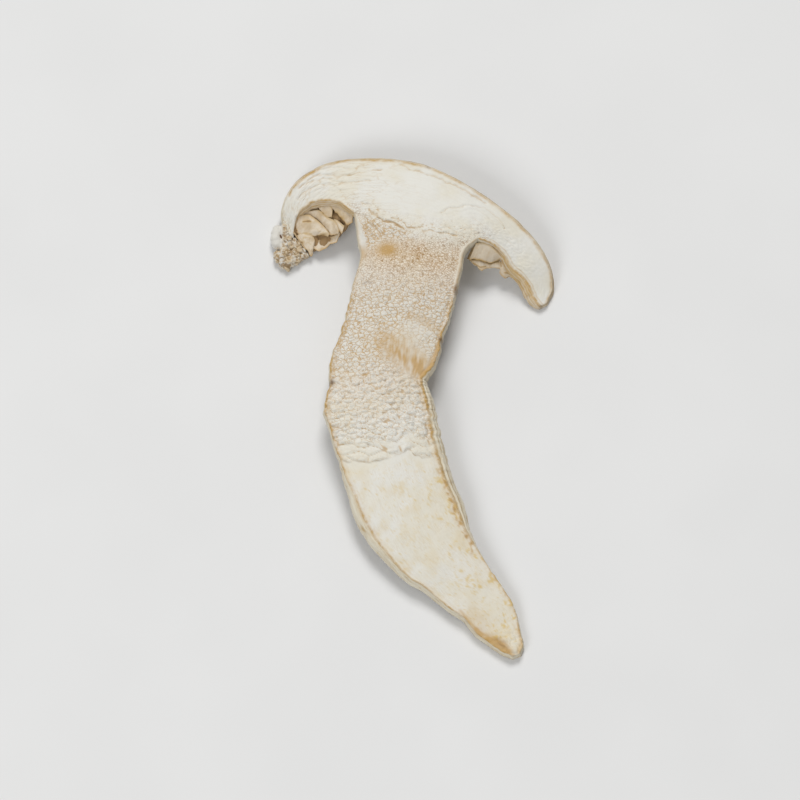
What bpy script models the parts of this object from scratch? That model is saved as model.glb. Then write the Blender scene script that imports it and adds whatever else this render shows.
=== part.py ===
# A dried matsutake mushroom: one lengthwise slice, lying on its hollow side.
# Cap and stem are one slab of flesh, sliced through by the knife. The dried gills
# hang under both halves of the cap, and a scrap of the veil sits at the left margin.
# Lengths are millimetres until the meshes are made, where MM turns them into metres.

import bpy
import numpy as np
from mathutils import Vector, noise

MM = 0.001
GAP = 0.35                  # clear space between the flesh and a gill clump
RIM_STEPS = 3               # faces from the cut face down to the underside
RIM_FULL_AT = 0.8           # share of the way down where the wall stands out fully
RIM_FULLNESS = 0.85         # share of the flare that the underside keeps
EASE_ROUNDS = 12            # rounds that spread the flare over the underside
REST_LEVEL = 0.0            # the surface that the slice lies on

# Cut face of the cap, from the left margin over the crown to the right margin:
# gill side (x, y), skin side (x, y), how far the gill wall and the skin flare out.
CAP_RIBS = (
    ((-26.7, 40.0), (-28.7, 40.0), 0.0, 0.2),
    ((-26.5, 42.5), (-28.9, 43.3), 0.0, 0.4),
    ((-25.8, 44.6), (-29.0, 46.0), 0.0, 0.5),
    ((-24.5, 46.0), (-28.1, 48.4), 0.0, 0.7),
    ((-22.2, 47.1), (-26.2, 51.2), 0.0, 0.9),
    ((-19.3, 47.2), (-22.8, 53.9), 0.0, 0.9),
    ((-16.2, 46.2), (-18.4, 55.7), 0.0, 0.9),
    ((-13.0, 43.4), (-13.5, 56.4), 0.1, 0.9),
    ((-6.1, 41.3), (-5.0, 56.0), 0.2, 1.0),
    ((0.8, 39.6), (3.4, 54.1), 0.2, 1.0),
    ((7.7, 38.2), (12.1, 49.7), 0.2, 0.9),
    ((14.6, 37.0), (20.1, 44.2), 0.2, 0.9),
    ((17.5, 36.4), (23.7, 41.1), 0.2, 1.0),
    ((20.2, 34.6), (26.8, 38.0), 0.2, 0.9),
    ((22.2, 31.7), (29.2, 34.7), 0.4, 0.8),
    ((24.9, 29.6), (30.9, 31.1), 1.0, 0.6),
    ((26.7, 26.9), (31.2, 27.8), 1.4, 0.4),
    ((27.8, 24.8), (30.4, 25.5), 0.8, 0.3),
    ((28.6, 23.9), (29.9, 24.6), 0.3, 0.3),
)
LEFT_CORNER = 7             # cap ribs where the two edges of the stem start
RIGHT_CORNER = 11

# Cut face of the stem, from the cap down to the tip:
# left (x, y), right (x, y), how far the left and the right side flare out.
STEM_RIBS = (
    ((-13.0, 43.4), (14.6, 37.0), 0.1, 0.2),
    ((-12.0, 37.1), (11.7, 34.1), 0.3, 0.3),
    ((-11.4, 33.0), (10.8, 30.0), 0.3, 0.3),
    ((-13.0, 26.9), (10.0, 26.3), 0.3, 0.3),
    ((-14.2, 21.3), (8.6, 20.1), 0.3, 0.3),
    ((-16.2, 14.4), (6.6, 13.9), 0.3, 0.3),
    ((-18.2, 8.6), (4.8, 7.4), 0.3, 0.4),
    ((-18.4, 2.9), (2.1, 3.8), 0.3, 1.2),
    ((-19.6, -2.6), (3.2, -1.4), 0.3, 1.7),
    ((-18.2, -8.0), (4.1, -7.6), 0.3, 2.1),
    ((-16.4, -14.0), (5.7, -14.4), 0.3, 2.1),
    ((-14.4, -19.4), (7.6, -20.1), 0.8, 1.9),
    ((-12.0, -25.0), (9.7, -25.0), 1.8, 2.0),
    ((-9.7, -30.3), (11.7, -30.5), 1.9, 1.3),
    ((-6.4, -35.1), (14.0, -34.1), 1.5, 0.5),
    ((-1.7, -40.5), (16.4, -38.1), 1.0, 0.3),
    ((3.2, -44.0), (18.7, -41.5), 0.6, 0.3),
    ((7.7, -47.9), (20.9, -44.9), 0.4, 0.3),
    ((11.4, -50.6), (22.5, -47.9), 0.3, 0.3),
    ((14.0, -53.7), (23.4, -51.1), 0.3, 0.3),
    ((16.9, -56.0), (23.9, -53.8), 0.3, 0.3),
    ((20.0, -58.2), (24.5, -56.4), 0.3, 0.3),
    ((22.2, -59.2), (23.9, -58.6), 0.3, 0.3),
)

# The curl that drying gave the slice: x, y, height of its middle, thickness.
CURL = (
    (-28.7, 40.0, 0.5, 1.8), (-26.5, 40.0, 0.5, 1.8), (-28.7, 42.6, 0.8, 2.0),
    (-29.4, 45.5, 2.4, 2.0), (-25.6, 44.8, 3.2, 2.0), (-27.4, 50.1, 4.2, 2.2),
    (-22.9, 54.1, 5.4, 2.2), (-21.6, 47.1, 5.0, 2.3), (-13.5, 56.3, 6.6, 2.4),
    (-15.1, 50.0, 7.2, 2.9), (-13.1, 43.2, 7.8, 2.8), (-2.8, 56.2, 7.4, 2.6),
    (-3.9, 48.7, 8.8, 3.2), (0.8, 39.4, 9.6, 3.1), (6.1, 53.2, 7.8, 2.8),
    (7.3, 45.0, 9.0, 3.2), (16.2, 47.4, 7.4, 2.8), (17.3, 41.0, 7.8, 3.0),
    (14.6, 36.8, 8.2, 2.9), (24.0, 41.9, 6.2, 2.6), (20.2, 33.8, 5.6, 2.4),
    (29.9, 34.9, 4.0, 2.2), (26.3, 31.6, 3.8, 2.4), (23.6, 28.8, 3.2, 2.0),
    (31.6, 28.3, 1.0, 2.1), (29.2, 24.0, 0.5, 2.0),
    (-12.0, 31.3, 8.4, 2.5), (-1.0, 30.8, 9.7, 2.9), (10.4, 30.4, 8.4, 2.5),
    (-14.2, 21.1, 7.9, 2.4), (-2.8, 19.1, 9.3, 2.8), (8.6, 20.1, 7.9, 2.4),
    (-18.2, 5.7, 7.0, 2.3), (-7.3, 4.6, 8.7, 2.7), (4.1, 6.2, 7.0, 2.3),
    (-18.9, -4.3, 6.4, 2.3), (-6.6, -5.7, 8.0, 2.7), (5.7, -4.9, 6.0, 2.3),
    (-16.2, -14.7, 5.4, 2.4), (-3.7, -15.2, 6.8, 2.7), (7.9, -14.5, 5.0, 2.3),
    (-13.5, -26.2, 4.4, 2.4), (-1.0, -26.7, 5.6, 2.7), (11.5, -25.6, 4.0, 2.3),
    (-6.6, -37.2, 3.3, 2.3), (4.4, -37.0, 4.1, 2.5), (15.3, -35.6, 2.9, 2.2),
    (3.9, -46.0, 2.0, 2.2), (12.9, -44.6, 2.6, 2.3), (20.0, -44.2, 1.8, 2.1),
    (12.9, -54.0, 1.0, 2.4), (18.7, -53.1, 1.0, 2.5), (23.6, -52.1, 1.0, 2.3),
    (19.6, -59.1, 0.8, 2.2), (23.1, -59.8, 0.8, 2.1), (24.9, -56.7, 0.8, 2.2),
)
CURL_SOFTNESS = 2.0         # how loosely the surface follows the heights above

# Relief of the cut face. Three numbers mean from, to, and how softly it fades.
CROWN_FURROW_DEPTH = 0.35   # furrow just inside the skin of the cap
CROWN_FURROW_INSET = 2.6
CROWN_FURROW_WIDTH = 0.8
CROWN_FURROW_RIBS = (2.5, 15.0, 3.0)
CROWN_WAVE_HEIGHT = 0.16    # wrinkles that run along with the skin, left half
CROWN_WAVE_LENGTH = 2.4
CROWN_WAVE_DRIFT = 0.6      # how far they shift from rib to rib
CROWN_WAVE_RIBS = (5.0, 2.4)            # strongest at this rib, and how wide
CROWN_WAVE_DEPTHS = (1.2, 8.0, 1.5)     # below the skin
LIP_HEIGHT = 0.4            # raised lips beside the top of the stem
LIP_WIDTH = 1.1
LEFT_LIP_RIBS = (-1.0, 3.4, 1.0)
RIGHT_LIP_RIBS = (0.3, 4.2, 1.0)
RIGHT_LIP_SHARE = 0.7       # its height beside the left one
CRUMPLE_HEIGHT = 0.42       # cross rows of lumps on the middle of the stem
CRUMPLE_SIZE = (3.4, 2.3)
CRUMPLE_SEED = 4.0
CRUMPLE_RANGE = (-13.0, 8.0, 6.0)
TEAR_DROP = 0.45            # ledge where the lumps stop and smooth flesh begins
TEAR_Y = -14.2
TEAR_SWING = 0.8            # how far the ledge wanders up and down
TEAR_TURNS = 9.0
TEAR_SLOPE = 1.2
TEAR_FADE = 14.0

# Grid of the flesh.
CAP_ROWS = 9
CAP_COLUMNS = (16, 18, 20)  # left of the stem, over the stem, right of the stem
STEM_ROWS = ((6.0, 15), (10.0, 24), (22.0, 21))   # up to this rib, rows for it

# Gill clump under the left half: free edge (x, y), height of its upper side.
LEFT_GILLS_SPAN = (0.35, 6.55)      # cap ribs between which it hangs
LEFT_GILLS_EDGE = (
    (-25.9, 39.5, 1.6), (-24.3, 37.3, 2.2), (-22.9, 35.6, 2.6), (-21.1, 36.4, 3.5),
    (-19.1, 37.0, 4.3), (-17.1, 38.2, 5.1), (-15.4, 40.4, 6.4), (-14.3, 42.5, 7.4),
)
LEFT_GILLS_PLATES = 9
LEFT_GILLS_FACES = (36, 7)
LEFT_GILLS_THICKNESS = 2.4
LEFT_GILLS_DROP = 0.3       # below the cut face where the clump leaves the flesh
PLATE_STEP = 0.7            # how far a plate stands over its neighbour
PLATE_STEP_START = 0.15     # share of that step already there at the flesh
PLATE_SCALLOP = 0.5         # how far its rounded end stands out
PLATE_NOTCH = 0.6           # how much of that is taken back between two plates
GILLS_SWELL = 0.8

# Gill sheet under the right half, folded and crumpled.
RIGHT_GILLS_SPAN = (11.35, 15.0)
RIGHT_GILLS_EDGE = (
    (14.2, 34.8, 7.7), (13.3, 33.1, 6.6), (15.3, 31.2, 4.9), (17.3, 31.9, 4.4),
    (19.8, 31.1, 3.5), (21.1, 29.9, 2.7), (23.2, 28.6, 2.2),
)
RIGHT_GILLS_PLEATS = 5
RIGHT_GILLS_FACES = (26, 5)
RIGHT_GILLS_THICKNESS = 1.1
RIGHT_GILLS_DROP = 0.6
PLEAT_HEIGHT = 0.3
PLEAT_REACH = 0.25          # how far the pleats scallop the free edge
PLEAT_END = 0.8             # share of a half wave from the flesh to the free edge

# Scrap of the veil: a lumpy roll through x, y with this radius.
VEIL_PATH = (
    (-31.0, 42.2, 1.0), (-31.0, 39.9, 1.25), (-29.7, 37.0, 1.8), (-27.4, 35.5, 2.0),
    (-25.2, 34.0, 1.7), (-23.2, 33.9, 1.0),
)
VEIL_RINGS = 17
VEIL_SIDES = 14
VEIL_LUMP = 0.18
VEIL_LUMPS_PER_MM = 0.9
VEIL_LUMPS_PER_TURN = 1.5
VEIL_END_FULLNESS = 1.2     # how quickly the roll reaches its full radius
VEIL_AXIS_HEIGHT = 0.9      # of its radius

FLESH_COLOUR = (0.70, 0.65, 0.55)
LEFT_GILL_COLOUR = (0.50, 0.40, 0.28)
RIGHT_GILL_COLOUR = (0.52, 0.43, 0.31)
VEIL_COLOUR = (0.55, 0.47, 0.35)
FLESH_ROUGHNESS = 0.85
GILL_ROUGHNESS = 0.75
VEIL_ROUGHNESS = 0.95


def clear_scene():
    for item in list(bpy.data.objects):
        bpy.data.objects.remove(item, do_unlink=True)


def flowing(points, at):
    """Points of a smooth curve through the given rows, at these row numbers."""
    rows = np.asarray(points, float)
    at = np.atleast_1d(np.asarray(at, float))
    last = len(rows) - 1
    k = np.clip(np.floor(at).astype(int), 0, last - 1)
    f = (at - k)[:, None]
    a, b = rows[np.maximum(k - 1, 0)], rows[k]
    c, d = rows[k + 1], rows[np.minimum(k + 2, last)]
    slope_b, slope_c = (c - a) / 2, (d - b) / 2
    return ((2 * f**3 - 3 * f**2 + 1) * b + (f**3 - 2 * f**2 + f) * slope_b
            + (3 * f**2 - 2 * f**3) * c + (f**3 - f**2) * slope_c)


def fitted_sheet(places, values, softness):
    """A smooth sheet through scattered heights: a thin plate bent over them."""
    def bend(distance):
        return distance**2 * np.log(np.maximum(distance, 1e-9))

    places = np.asarray(places, float)
    values = np.asarray(values, float)
    count = len(places)
    plane = np.c_[np.ones(count), places]
    gaps = np.linalg.norm(places[:, None] - places[None], axis=2)
    system = np.zeros((count + 3, count + 3))
    system[:count, :count] = bend(gaps) + softness * np.eye(count)
    system[:count, count:] = plane
    system[count:, :count] = plane.T
    weights = np.linalg.solve(system, np.r_[values, np.zeros(3)])

    def height(xy):
        away = np.linalg.norm(xy[:, None] - places[None], axis=2)
        return bend(away) @ weights[:count] + np.c_[np.ones(len(xy)), xy] @ weights[count:]
    return height


def middle_of_slice():
    places = [row[:2] for row in CURL]
    height = fitted_sheet(places, [row[2] for row in CURL], CURL_SOFTNESS)
    thickness = fitted_sheet(places, [row[3] for row in CURL], CURL_SOFTNESS)
    return height, thickness


def lumps(xy, size_x, size_y, seed):
    return np.array([noise.noise(Vector((x / size_x, y / size_y, seed))) for x, y in xy])


def bump(values, centre, width):
    return np.exp(-((values - centre) / width)**2)


def window(values, low, high, soft):
    rise = np.clip((values - low) / soft + 0.5, 0, 1)
    fall = np.clip((high - values) / soft + 0.5, 0, 1)
    return rise * rise * (3 - 2 * rise) * fall * fall * (3 - 2 * fall)


def cap_grid():
    """Places, rib numbers and shares across of the cap's cut face."""
    left, over, right = CAP_COLUMNS
    last = len(CAP_RIBS) - 1
    ribs = np.r_[np.linspace(0, LEFT_CORNER, left, endpoint=False),
                 np.linspace(LEFT_CORNER, RIGHT_CORNER, over, endpoint=False),
                 np.linspace(RIGHT_CORNER, last, right + 1)]
    gill_side = flowing([rib[0] for rib in CAP_RIBS], ribs)
    skin_side = flowing([rib[1] for rib in CAP_RIBS], ribs)
    across = np.linspace(0, 1, CAP_ROWS + 1)
    grid = gill_side[:, None] + (skin_side - gill_side)[:, None] * across[None, :, None]
    return grid, ribs, across


def stem_grid():
    """Places, rib numbers and shares across of the stem's cut face, cap row left out."""
    ribs = []
    start = 0.0
    for end, rows in STEM_ROWS:
        ribs.extend(np.linspace(start, end, rows + 1)[1:])
        start = end
    ribs = np.array(ribs)
    left_side = flowing([rib[0] for rib in STEM_RIBS], ribs)
    right_side = flowing([rib[1] for rib in STEM_RIBS], ribs)
    across = np.linspace(0, 1, CAP_COLUMNS[1] + 1)
    grid = left_side[:, None] + (right_side - left_side)[:, None] * across[None, :, None]
    return grid, ribs, across


def cap_relief(rib, across):
    gill_side = flowing([row[0] for row in CAP_RIBS], rib)
    skin_side = flowing([row[1] for row in CAP_RIBS], rib)
    depth = (1 - across) * np.linalg.norm(skin_side - gill_side, axis=1)
    furrow = bump(depth, CROWN_FURROW_INSET, CROWN_FURROW_WIDTH) * window(rib, *CROWN_FURROW_RIBS)
    waves = np.sin(2 * np.pi * depth / CROWN_WAVE_LENGTH + CROWN_WAVE_DRIFT * rib)
    waves *= bump(rib, *CROWN_WAVE_RIBS) * window(depth, *CROWN_WAVE_DEPTHS)
    return CROWN_WAVE_HEIGHT * waves - CROWN_FURROW_DEPTH * furrow


def stem_relief(xy, rib, across):
    left_side = flowing([row[0] for row in STEM_RIBS], rib)
    right_side = flowing([row[1] for row in STEM_RIBS], rib)
    width = np.linalg.norm(right_side - left_side, axis=1)
    left_lip = bump(across * width, 0, LIP_WIDTH) * window(rib, *LEFT_LIP_RIBS)
    right_lip = bump((1 - across) * width, 0, LIP_WIDTH) * window(rib, *RIGHT_LIP_RIBS)
    rows = lumps(xy, *CRUMPLE_SIZE, CRUMPLE_SEED) * window(xy[:, 1], *CRUMPLE_RANGE)
    below = TEAR_Y + TEAR_SWING * np.sin(across * TEAR_TURNS) - xy[:, 1]
    ledge = np.clip(below / TEAR_SLOPE + 0.5, 0, 1) * np.exp(-np.maximum(below, 0) / TEAR_FADE)
    return LIP_HEIGHT * (left_lip + RIGHT_LIP_SHARE * right_lip) + CRUMPLE_HEIGHT * rows - TEAR_DROP * ledge


def outward(loop_xy):
    """Unit vectors away from a shape whose edge points run clockwise."""
    along = np.roll(loop_xy, -1, axis=0) - np.roll(loop_xy, 1, axis=0)
    away = np.c_[-along[:, 1], along[:, 0]]
    return away / np.maximum(np.linalg.norm(away, axis=1), 1e-9)[:, None]


def eased(values, quads, fixed):
    """Moves of the edge points spread softly over the inner ones."""
    edges = np.concatenate([quads[:, [a, b]] for a, b in ((0, 1), (1, 2), (2, 3), (3, 0))])
    edges = np.concatenate([edges, edges[:, ::-1]])
    count = np.bincount(edges[:, 0], minlength=len(values))
    kept = values[fixed].copy()
    for _ in range(EASE_ROUNDS):
        total = np.zeros_like(values)
        np.add.at(total, edges[:, 0], values[edges[:, 1]])
        values = total / count[:, None]
        values[fixed] = kept
    return values


def slab(plan, quads, loop, flare, top, thickness):
    """A closed slab under a cut face: plan, faces, edge points, flare, heights."""
    count = len(plan)
    away = outward(plan[loop])
    shift = np.zeros_like(plan)
    shift[loop] = away * flare[:, None] * RIM_FULLNESS
    shift = eased(shift, quads, loop)
    foot = np.maximum(top - thickness, REST_LEVEL)
    points = [np.c_[plan, top], np.c_[plan + shift, foot]]
    rings = [loop]
    for step in range(1, RIM_STEPS):
        share = step / RIM_STEPS
        spread = np.sin(np.pi / 2 * min(1.0, share / RIM_FULL_AT))
        level = foot[loop] + (top[loop] - foot[loop]) * (0.5 + 0.5 * np.cos(np.pi * share))
        points.append(np.c_[plan[loop] + away * flare[:, None] * spread, level])
        rings.append(2 * count + (step - 1) * len(loop) + np.arange(len(loop)))
    rings.append(count + loop)
    faces = [tuple(quad) for quad in quads]
    faces += [tuple(quad[::-1] + count) for quad in quads]
    for upper, lower in zip(rings, rings[1:]):
        ahead_upper, ahead_lower = np.roll(upper, -1), np.roll(lower, -1)
        faces += [tuple(face) for face in np.c_[upper, ahead_upper, ahead_lower, lower]]
    return np.concatenate(points), faces


def grid_quads(index):
    """Faces of a block of numbered points, wound to face up."""
    corners = (index[:-1, :-1], index[1:, :-1], index[1:, 1:], index[:-1, 1:])
    return np.stack([corner.ravel() for corner in corners], axis=1)


def facing_up(plan, quads):
    a, b, c = plan[quads[:, 0]], plan[quads[:, 1]], plan[quads[:, 2]]
    turn = np.sum((b[:, 0] - a[:, 0]) * (c[:, 1] - a[:, 1]) - (b[:, 1] - a[:, 1]) * (c[:, 0] - a[:, 0]))
    return quads if turn > 0 else quads[:, ::-1]


def material(name, colour, roughness):
    made = bpy.data.materials.new(name)
    made.use_nodes = True
    shader = made.node_tree.nodes["Principled BSDF"]
    shader.inputs["Base Color"].default_value = (*colour, 1)
    shader.inputs["Roughness"].default_value = roughness
    shader.inputs["Metallic"].default_value = 0.0
    return made


def add_piece(name, points, faces, colour, roughness):
    mesh = bpy.data.meshes.new(name)
    mesh.from_pydata([tuple(point) for point in points * MM], [], [list(map(int, face)) for face in faces])
    mesh.update()
    mesh.shade_smooth()
    mesh.materials.append(material(name + "_surface", colour, roughness))
    piece = bpy.data.objects.new(name, mesh)
    bpy.context.scene.collection.objects.link(piece)
    return piece


def make_flesh(height, thickness):
    cap, cap_rib, cap_across = cap_grid()
    stem, stem_rib, stem_across = stem_grid()
    columns, rows = cap.shape[0], cap.shape[1]
    plan = np.concatenate([cap.reshape(-1, 2), stem.reshape(-1, 2)])

    cap_index = np.arange(columns * rows).reshape(columns, rows)
    stem_index = columns * rows + np.arange(stem.shape[0] * stem.shape[1]).reshape(stem.shape[:2])
    first, last = CAP_COLUMNS[0], CAP_COLUMNS[0] + CAP_COLUMNS[1]
    stem_index = np.concatenate([cap_index[first:last + 1, 0][None], stem_index])
    quads = np.concatenate([facing_up(plan, grid_quads(cap_index)),
                            facing_up(plan, grid_quads(stem_index))])

    # Once round the edge, clockwise: left margin, skin, right margin, right gill
    # wall, stem, left gill wall.
    loop = np.r_[cap_index[0, :-1], cap_index[:-1, -1], cap_index[-1, :0:-1],
                 cap_index[:last:-1, 0], stem_index[:-1, -1], stem_index[-1, :0:-1],
                 stem_index[:0:-1, 0], cap_index[first:0:-1, 0]]
    gill_flare = np.interp(cap_rib, np.arange(len(CAP_RIBS)), [rib[2] for rib in CAP_RIBS])
    skin_flare = np.interp(cap_rib, np.arange(len(CAP_RIBS)), [rib[3] for rib in CAP_RIBS])
    rib_of_row = np.r_[0, stem_rib]
    left_flare = np.interp(rib_of_row, np.arange(len(STEM_RIBS)), [rib[2] for rib in STEM_RIBS])
    right_flare = np.interp(rib_of_row, np.arange(len(STEM_RIBS)), [rib[3] for rib in STEM_RIBS])
    flare = np.r_[np.full(rows - 1, skin_flare[0]), skin_flare[:-1], np.full(rows - 1, skin_flare[-1]),
                  gill_flare[:last:-1], right_flare[:-1], np.full(stem.shape[1] - 1, right_flare[-1]),
                  left_flare[:0:-1], gill_flare[first:0:-1]]

    cap_relief_all = cap_relief(np.repeat(cap_rib, rows), np.tile(cap_across, columns))
    stem_relief_all = stem_relief(stem.reshape(-1, 2), np.repeat(stem_rib, stem.shape[1]),
                                  np.tile(stem_across, stem.shape[0]))
    relief = np.r_[cap_relief_all, stem_relief_all]
    thick = thickness(plan)
    top = height(plan) + thick / 2
    points, faces = slab(plan, quads, loop, flare, top + relief, thick + relief)
    add_piece("cap_and_stem", points, faces, FLESH_COLOUR, FLESH_ROUGHNESS)


def clump_grid(span, edge, faces, reach):
    """Plan and upper heights of a gill clump between the flesh and its free edge."""
    ribs = np.linspace(span[0], span[1], faces[0] + 1)
    wall = flowing([rib[0] for rib in CAP_RIBS], ribs)
    along = np.gradient(wall, axis=0)
    away = np.c_[along[:, 1], -along[:, 0]]
    away /= np.linalg.norm(away, axis=1)[:, None]
    flare = np.interp(ribs, np.arange(len(CAP_RIBS)), [rib[2] for rib in CAP_RIBS])
    start = wall + away * (flare + GAP)[:, None]
    free = flowing(edge, np.linspace(0, len(edge) - 1, faces[0] + 1))
    end = free[:, :2]
    outer = end - start
    end = end + outer / np.linalg.norm(outer, axis=1)[:, None] * reach[:, None]
    share = np.linspace(0, 1, faces[1] + 1)
    plan = start[:, None] + (end - start)[:, None] * share[None, :, None]
    return plan, start, free[:, 2], share


def clump_loop(index):
    """Once round a block whose first side lies on the flesh, clockwise seen from above."""
    return np.r_[index[0, :-1], index[:-1, -1], index[-1, :0:-1], index[:0:-1, 0]]


def clockwise(plan, loop):
    ring = plan[loop]
    ahead = np.roll(ring, -1, axis=0)
    area = np.sum(ring[:, 0] * ahead[:, 1] - ahead[:, 0] * ring[:, 1])
    return loop if area < 0 else loop[::-1]


def make_clump(name, plan, top, thickness, colour):
    index = np.arange(plan.shape[0] * plan.shape[1]).reshape(plan.shape[:2])
    flat = plan.reshape(-1, 2)
    quads = facing_up(flat, grid_quads(index))
    loop = clockwise(flat, clump_loop(index))
    points, faces = slab(flat, quads, loop, np.zeros(len(loop)), top.ravel(), thickness.ravel())
    add_piece(name, points, faces, colour, GILL_ROUGHNESS)


def make_left_gills(height, thickness):
    phase = np.linspace(0, LEFT_GILLS_PLATES, LEFT_GILLS_FACES[0] + 1) % 1.0
    reach = PLATE_SCALLOP * (np.sin(np.pi * phase) - PLATE_NOTCH)
    plan, start, free_top, share = clump_grid(LEFT_GILLS_SPAN, LEFT_GILLS_EDGE, LEFT_GILLS_FACES, reach)
    start_top = height(start) + thickness(start) / 2 - LEFT_GILLS_DROP
    top = start_top[:, None] * (1 - share) + free_top[:, None] * share
    top = top + GILLS_SWELL * np.sin(np.pi * share)[None]
    step = np.sin(np.pi * np.clip(share + PLATE_STEP_START, 0, 1))
    top = top - PLATE_STEP * phase[:, None] * step[None]
    make_clump("gills_left", plan, top, np.full(top.shape, LEFT_GILLS_THICKNESS), LEFT_GILL_COLOUR)


def make_right_gills(height, thickness):
    turn = np.linspace(0, 2 * np.pi * RIGHT_GILLS_PLEATS, RIGHT_GILLS_FACES[0] + 1)
    plan, start, free_top, share = clump_grid(RIGHT_GILLS_SPAN, RIGHT_GILLS_EDGE, RIGHT_GILLS_FACES,
                                              PLEAT_REACH * np.sin(turn))
    start_top = height(start) + thickness(start) / 2 - RIGHT_GILLS_DROP
    top = start_top[:, None] * (1 - share) + free_top[:, None] * share
    top = top + PLEAT_HEIGHT * np.sin(turn)[:, None] * np.sin(np.pi * share * PLEAT_END)[None]
    make_clump("gills_right", plan, top, np.full(top.shape, RIGHT_GILLS_THICKNESS), RIGHT_GILL_COLOUR)


def make_veil():
    rows = flowing(VEIL_PATH, np.linspace(0, len(VEIL_PATH) - 1, VEIL_RINGS))
    along = np.gradient(rows[:, :2], axis=0)
    side = np.c_[along[:, 1], -along[:, 0]] / np.linalg.norm(along, axis=1)[:, None]
    points = []
    faces = []
    for ring, (x, y, radius) in enumerate(rows):
        squeeze = np.sqrt(np.sin(np.pi * (ring + 0.5) / VEIL_RINGS))
        for turn in range(VEIL_SIDES):
            angle = 2 * np.pi * turn / VEIL_SIDES
            spot = (x * VEIL_LUMPS_PER_MM, y * VEIL_LUMPS_PER_MM, angle * VEIL_LUMPS_PER_TURN)
            lump = VEIL_LUMP * noise.noise(Vector(spot))
            size = radius * min(1.0, squeeze * VEIL_END_FULLNESS) + lump
            out, up = size * np.cos(angle), size * np.sin(angle)
            level = max(REST_LEVEL, radius * VEIL_AXIS_HEIGHT + up)
            points.append((x + side[ring, 0] * out, y + side[ring, 1] * out, level))
    for ring in range(VEIL_RINGS - 1):
        for turn in range(VEIL_SIDES):
            here, ahead = ring * VEIL_SIDES + turn, ring * VEIL_SIDES + (turn + 1) % VEIL_SIDES
            faces.append((here, here + VEIL_SIDES, ahead + VEIL_SIDES, ahead))
    faces.append(tuple(range(VEIL_SIDES)))
    faces.append(tuple(range((VEIL_RINGS - 1) * VEIL_SIDES, VEIL_RINGS * VEIL_SIDES))[::-1])
    add_piece("veil_remnant", np.array(points), faces, VEIL_COLOUR, VEIL_ROUGHNESS)


def centre_on_footprint():
    """Moves every piece so that the origin is under the middle of the whole slice."""
    pieces = list(bpy.data.objects)
    corners = np.array([vertex.co for piece in pieces for vertex in piece.data.vertices])
    low, high = corners.min(axis=0), corners.max(axis=0)
    shift = Vector((-(low[0] + high[0]) / 2, -(low[1] + high[1]) / 2, -low[2]))
    for piece in pieces:
        for vertex in piece.data.vertices:
            vertex.co += shift
        piece.data.update()


clear_scene()
middle, slice_thickness = middle_of_slice()
make_flesh(middle, slice_thickness)
make_left_gills(middle, slice_thickness)
make_right_gills(middle, slice_thickness)
make_veil()
centre_on_footprint()
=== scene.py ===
import math
import bpy
import numpy as np
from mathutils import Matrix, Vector, noise


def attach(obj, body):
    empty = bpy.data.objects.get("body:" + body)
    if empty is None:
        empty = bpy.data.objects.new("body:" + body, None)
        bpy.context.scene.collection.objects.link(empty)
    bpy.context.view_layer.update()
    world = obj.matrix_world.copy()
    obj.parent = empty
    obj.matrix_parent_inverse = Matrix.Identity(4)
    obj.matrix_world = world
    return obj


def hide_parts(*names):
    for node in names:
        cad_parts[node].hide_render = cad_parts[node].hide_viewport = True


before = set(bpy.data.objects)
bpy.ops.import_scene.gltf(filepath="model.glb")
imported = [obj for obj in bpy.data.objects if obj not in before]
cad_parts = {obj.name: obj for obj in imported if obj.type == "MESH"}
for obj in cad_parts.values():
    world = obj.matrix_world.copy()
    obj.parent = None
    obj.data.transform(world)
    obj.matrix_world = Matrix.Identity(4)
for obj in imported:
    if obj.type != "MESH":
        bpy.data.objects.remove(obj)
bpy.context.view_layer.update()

print("frame loaded")

mm = 0.001
outlineShift = (0.233, 1.085)       # mm from the outline's zero to the middle of the footprint

# The cut face of the cap, left margin to right margin, in mm:
# gill side, skin side, flare of the gill wall, flare of the skin.
capRibs = (
    ((-26.7, 40.0), (-28.7, 40.0), 0.0, 0.2),
    ((-26.5, 42.5), (-28.9, 43.3), 0.2, 0.4),
    ((-25.8, 44.6), (-29.0, 46.0), 0.5, 0.5),
    ((-24.5, 46.0), (-28.1, 48.4), 0.8, 0.7),
    ((-22.2, 47.1), (-26.2, 51.2), 1.0, 0.9),
    ((-19.3, 47.2), (-22.8, 53.9), 1.0, 0.9),
    ((-16.2, 46.2), (-18.4, 55.7), 0.9, 0.9),
    ((-13.0, 43.4), (-13.5, 56.4), 0.4, 0.9),
    ((-6.1, 41.3), (-5.0, 56.0), 0.2, 1.0),
    ((0.8, 39.6), (3.4, 54.1), 0.2, 1.0),
    ((7.7, 38.2), (12.1, 49.7), 0.2, 0.9),
    ((14.6, 37.0), (20.1, 44.2), 0.4, 0.9),
    ((17.5, 36.4), (23.7, 41.1), 0.9, 1.0),
    ((20.2, 34.6), (26.8, 38.0), 1.0, 0.9),
    ((22.2, 31.7), (29.2, 34.7), 1.2, 0.8),
    ((24.9, 29.6), (30.9, 31.1), 1.7, 0.6),
    ((26.7, 26.9), (31.2, 27.8), 2.0, 0.4),
    ((27.8, 24.8), (30.4, 25.5), 1.3, 0.3),
    ((28.6, 23.9), (29.9, 24.6), 0.4, 0.3),
)
leftCorner, rightCorner = 7, 11     # cap ribs where the stem's edges start

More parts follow.
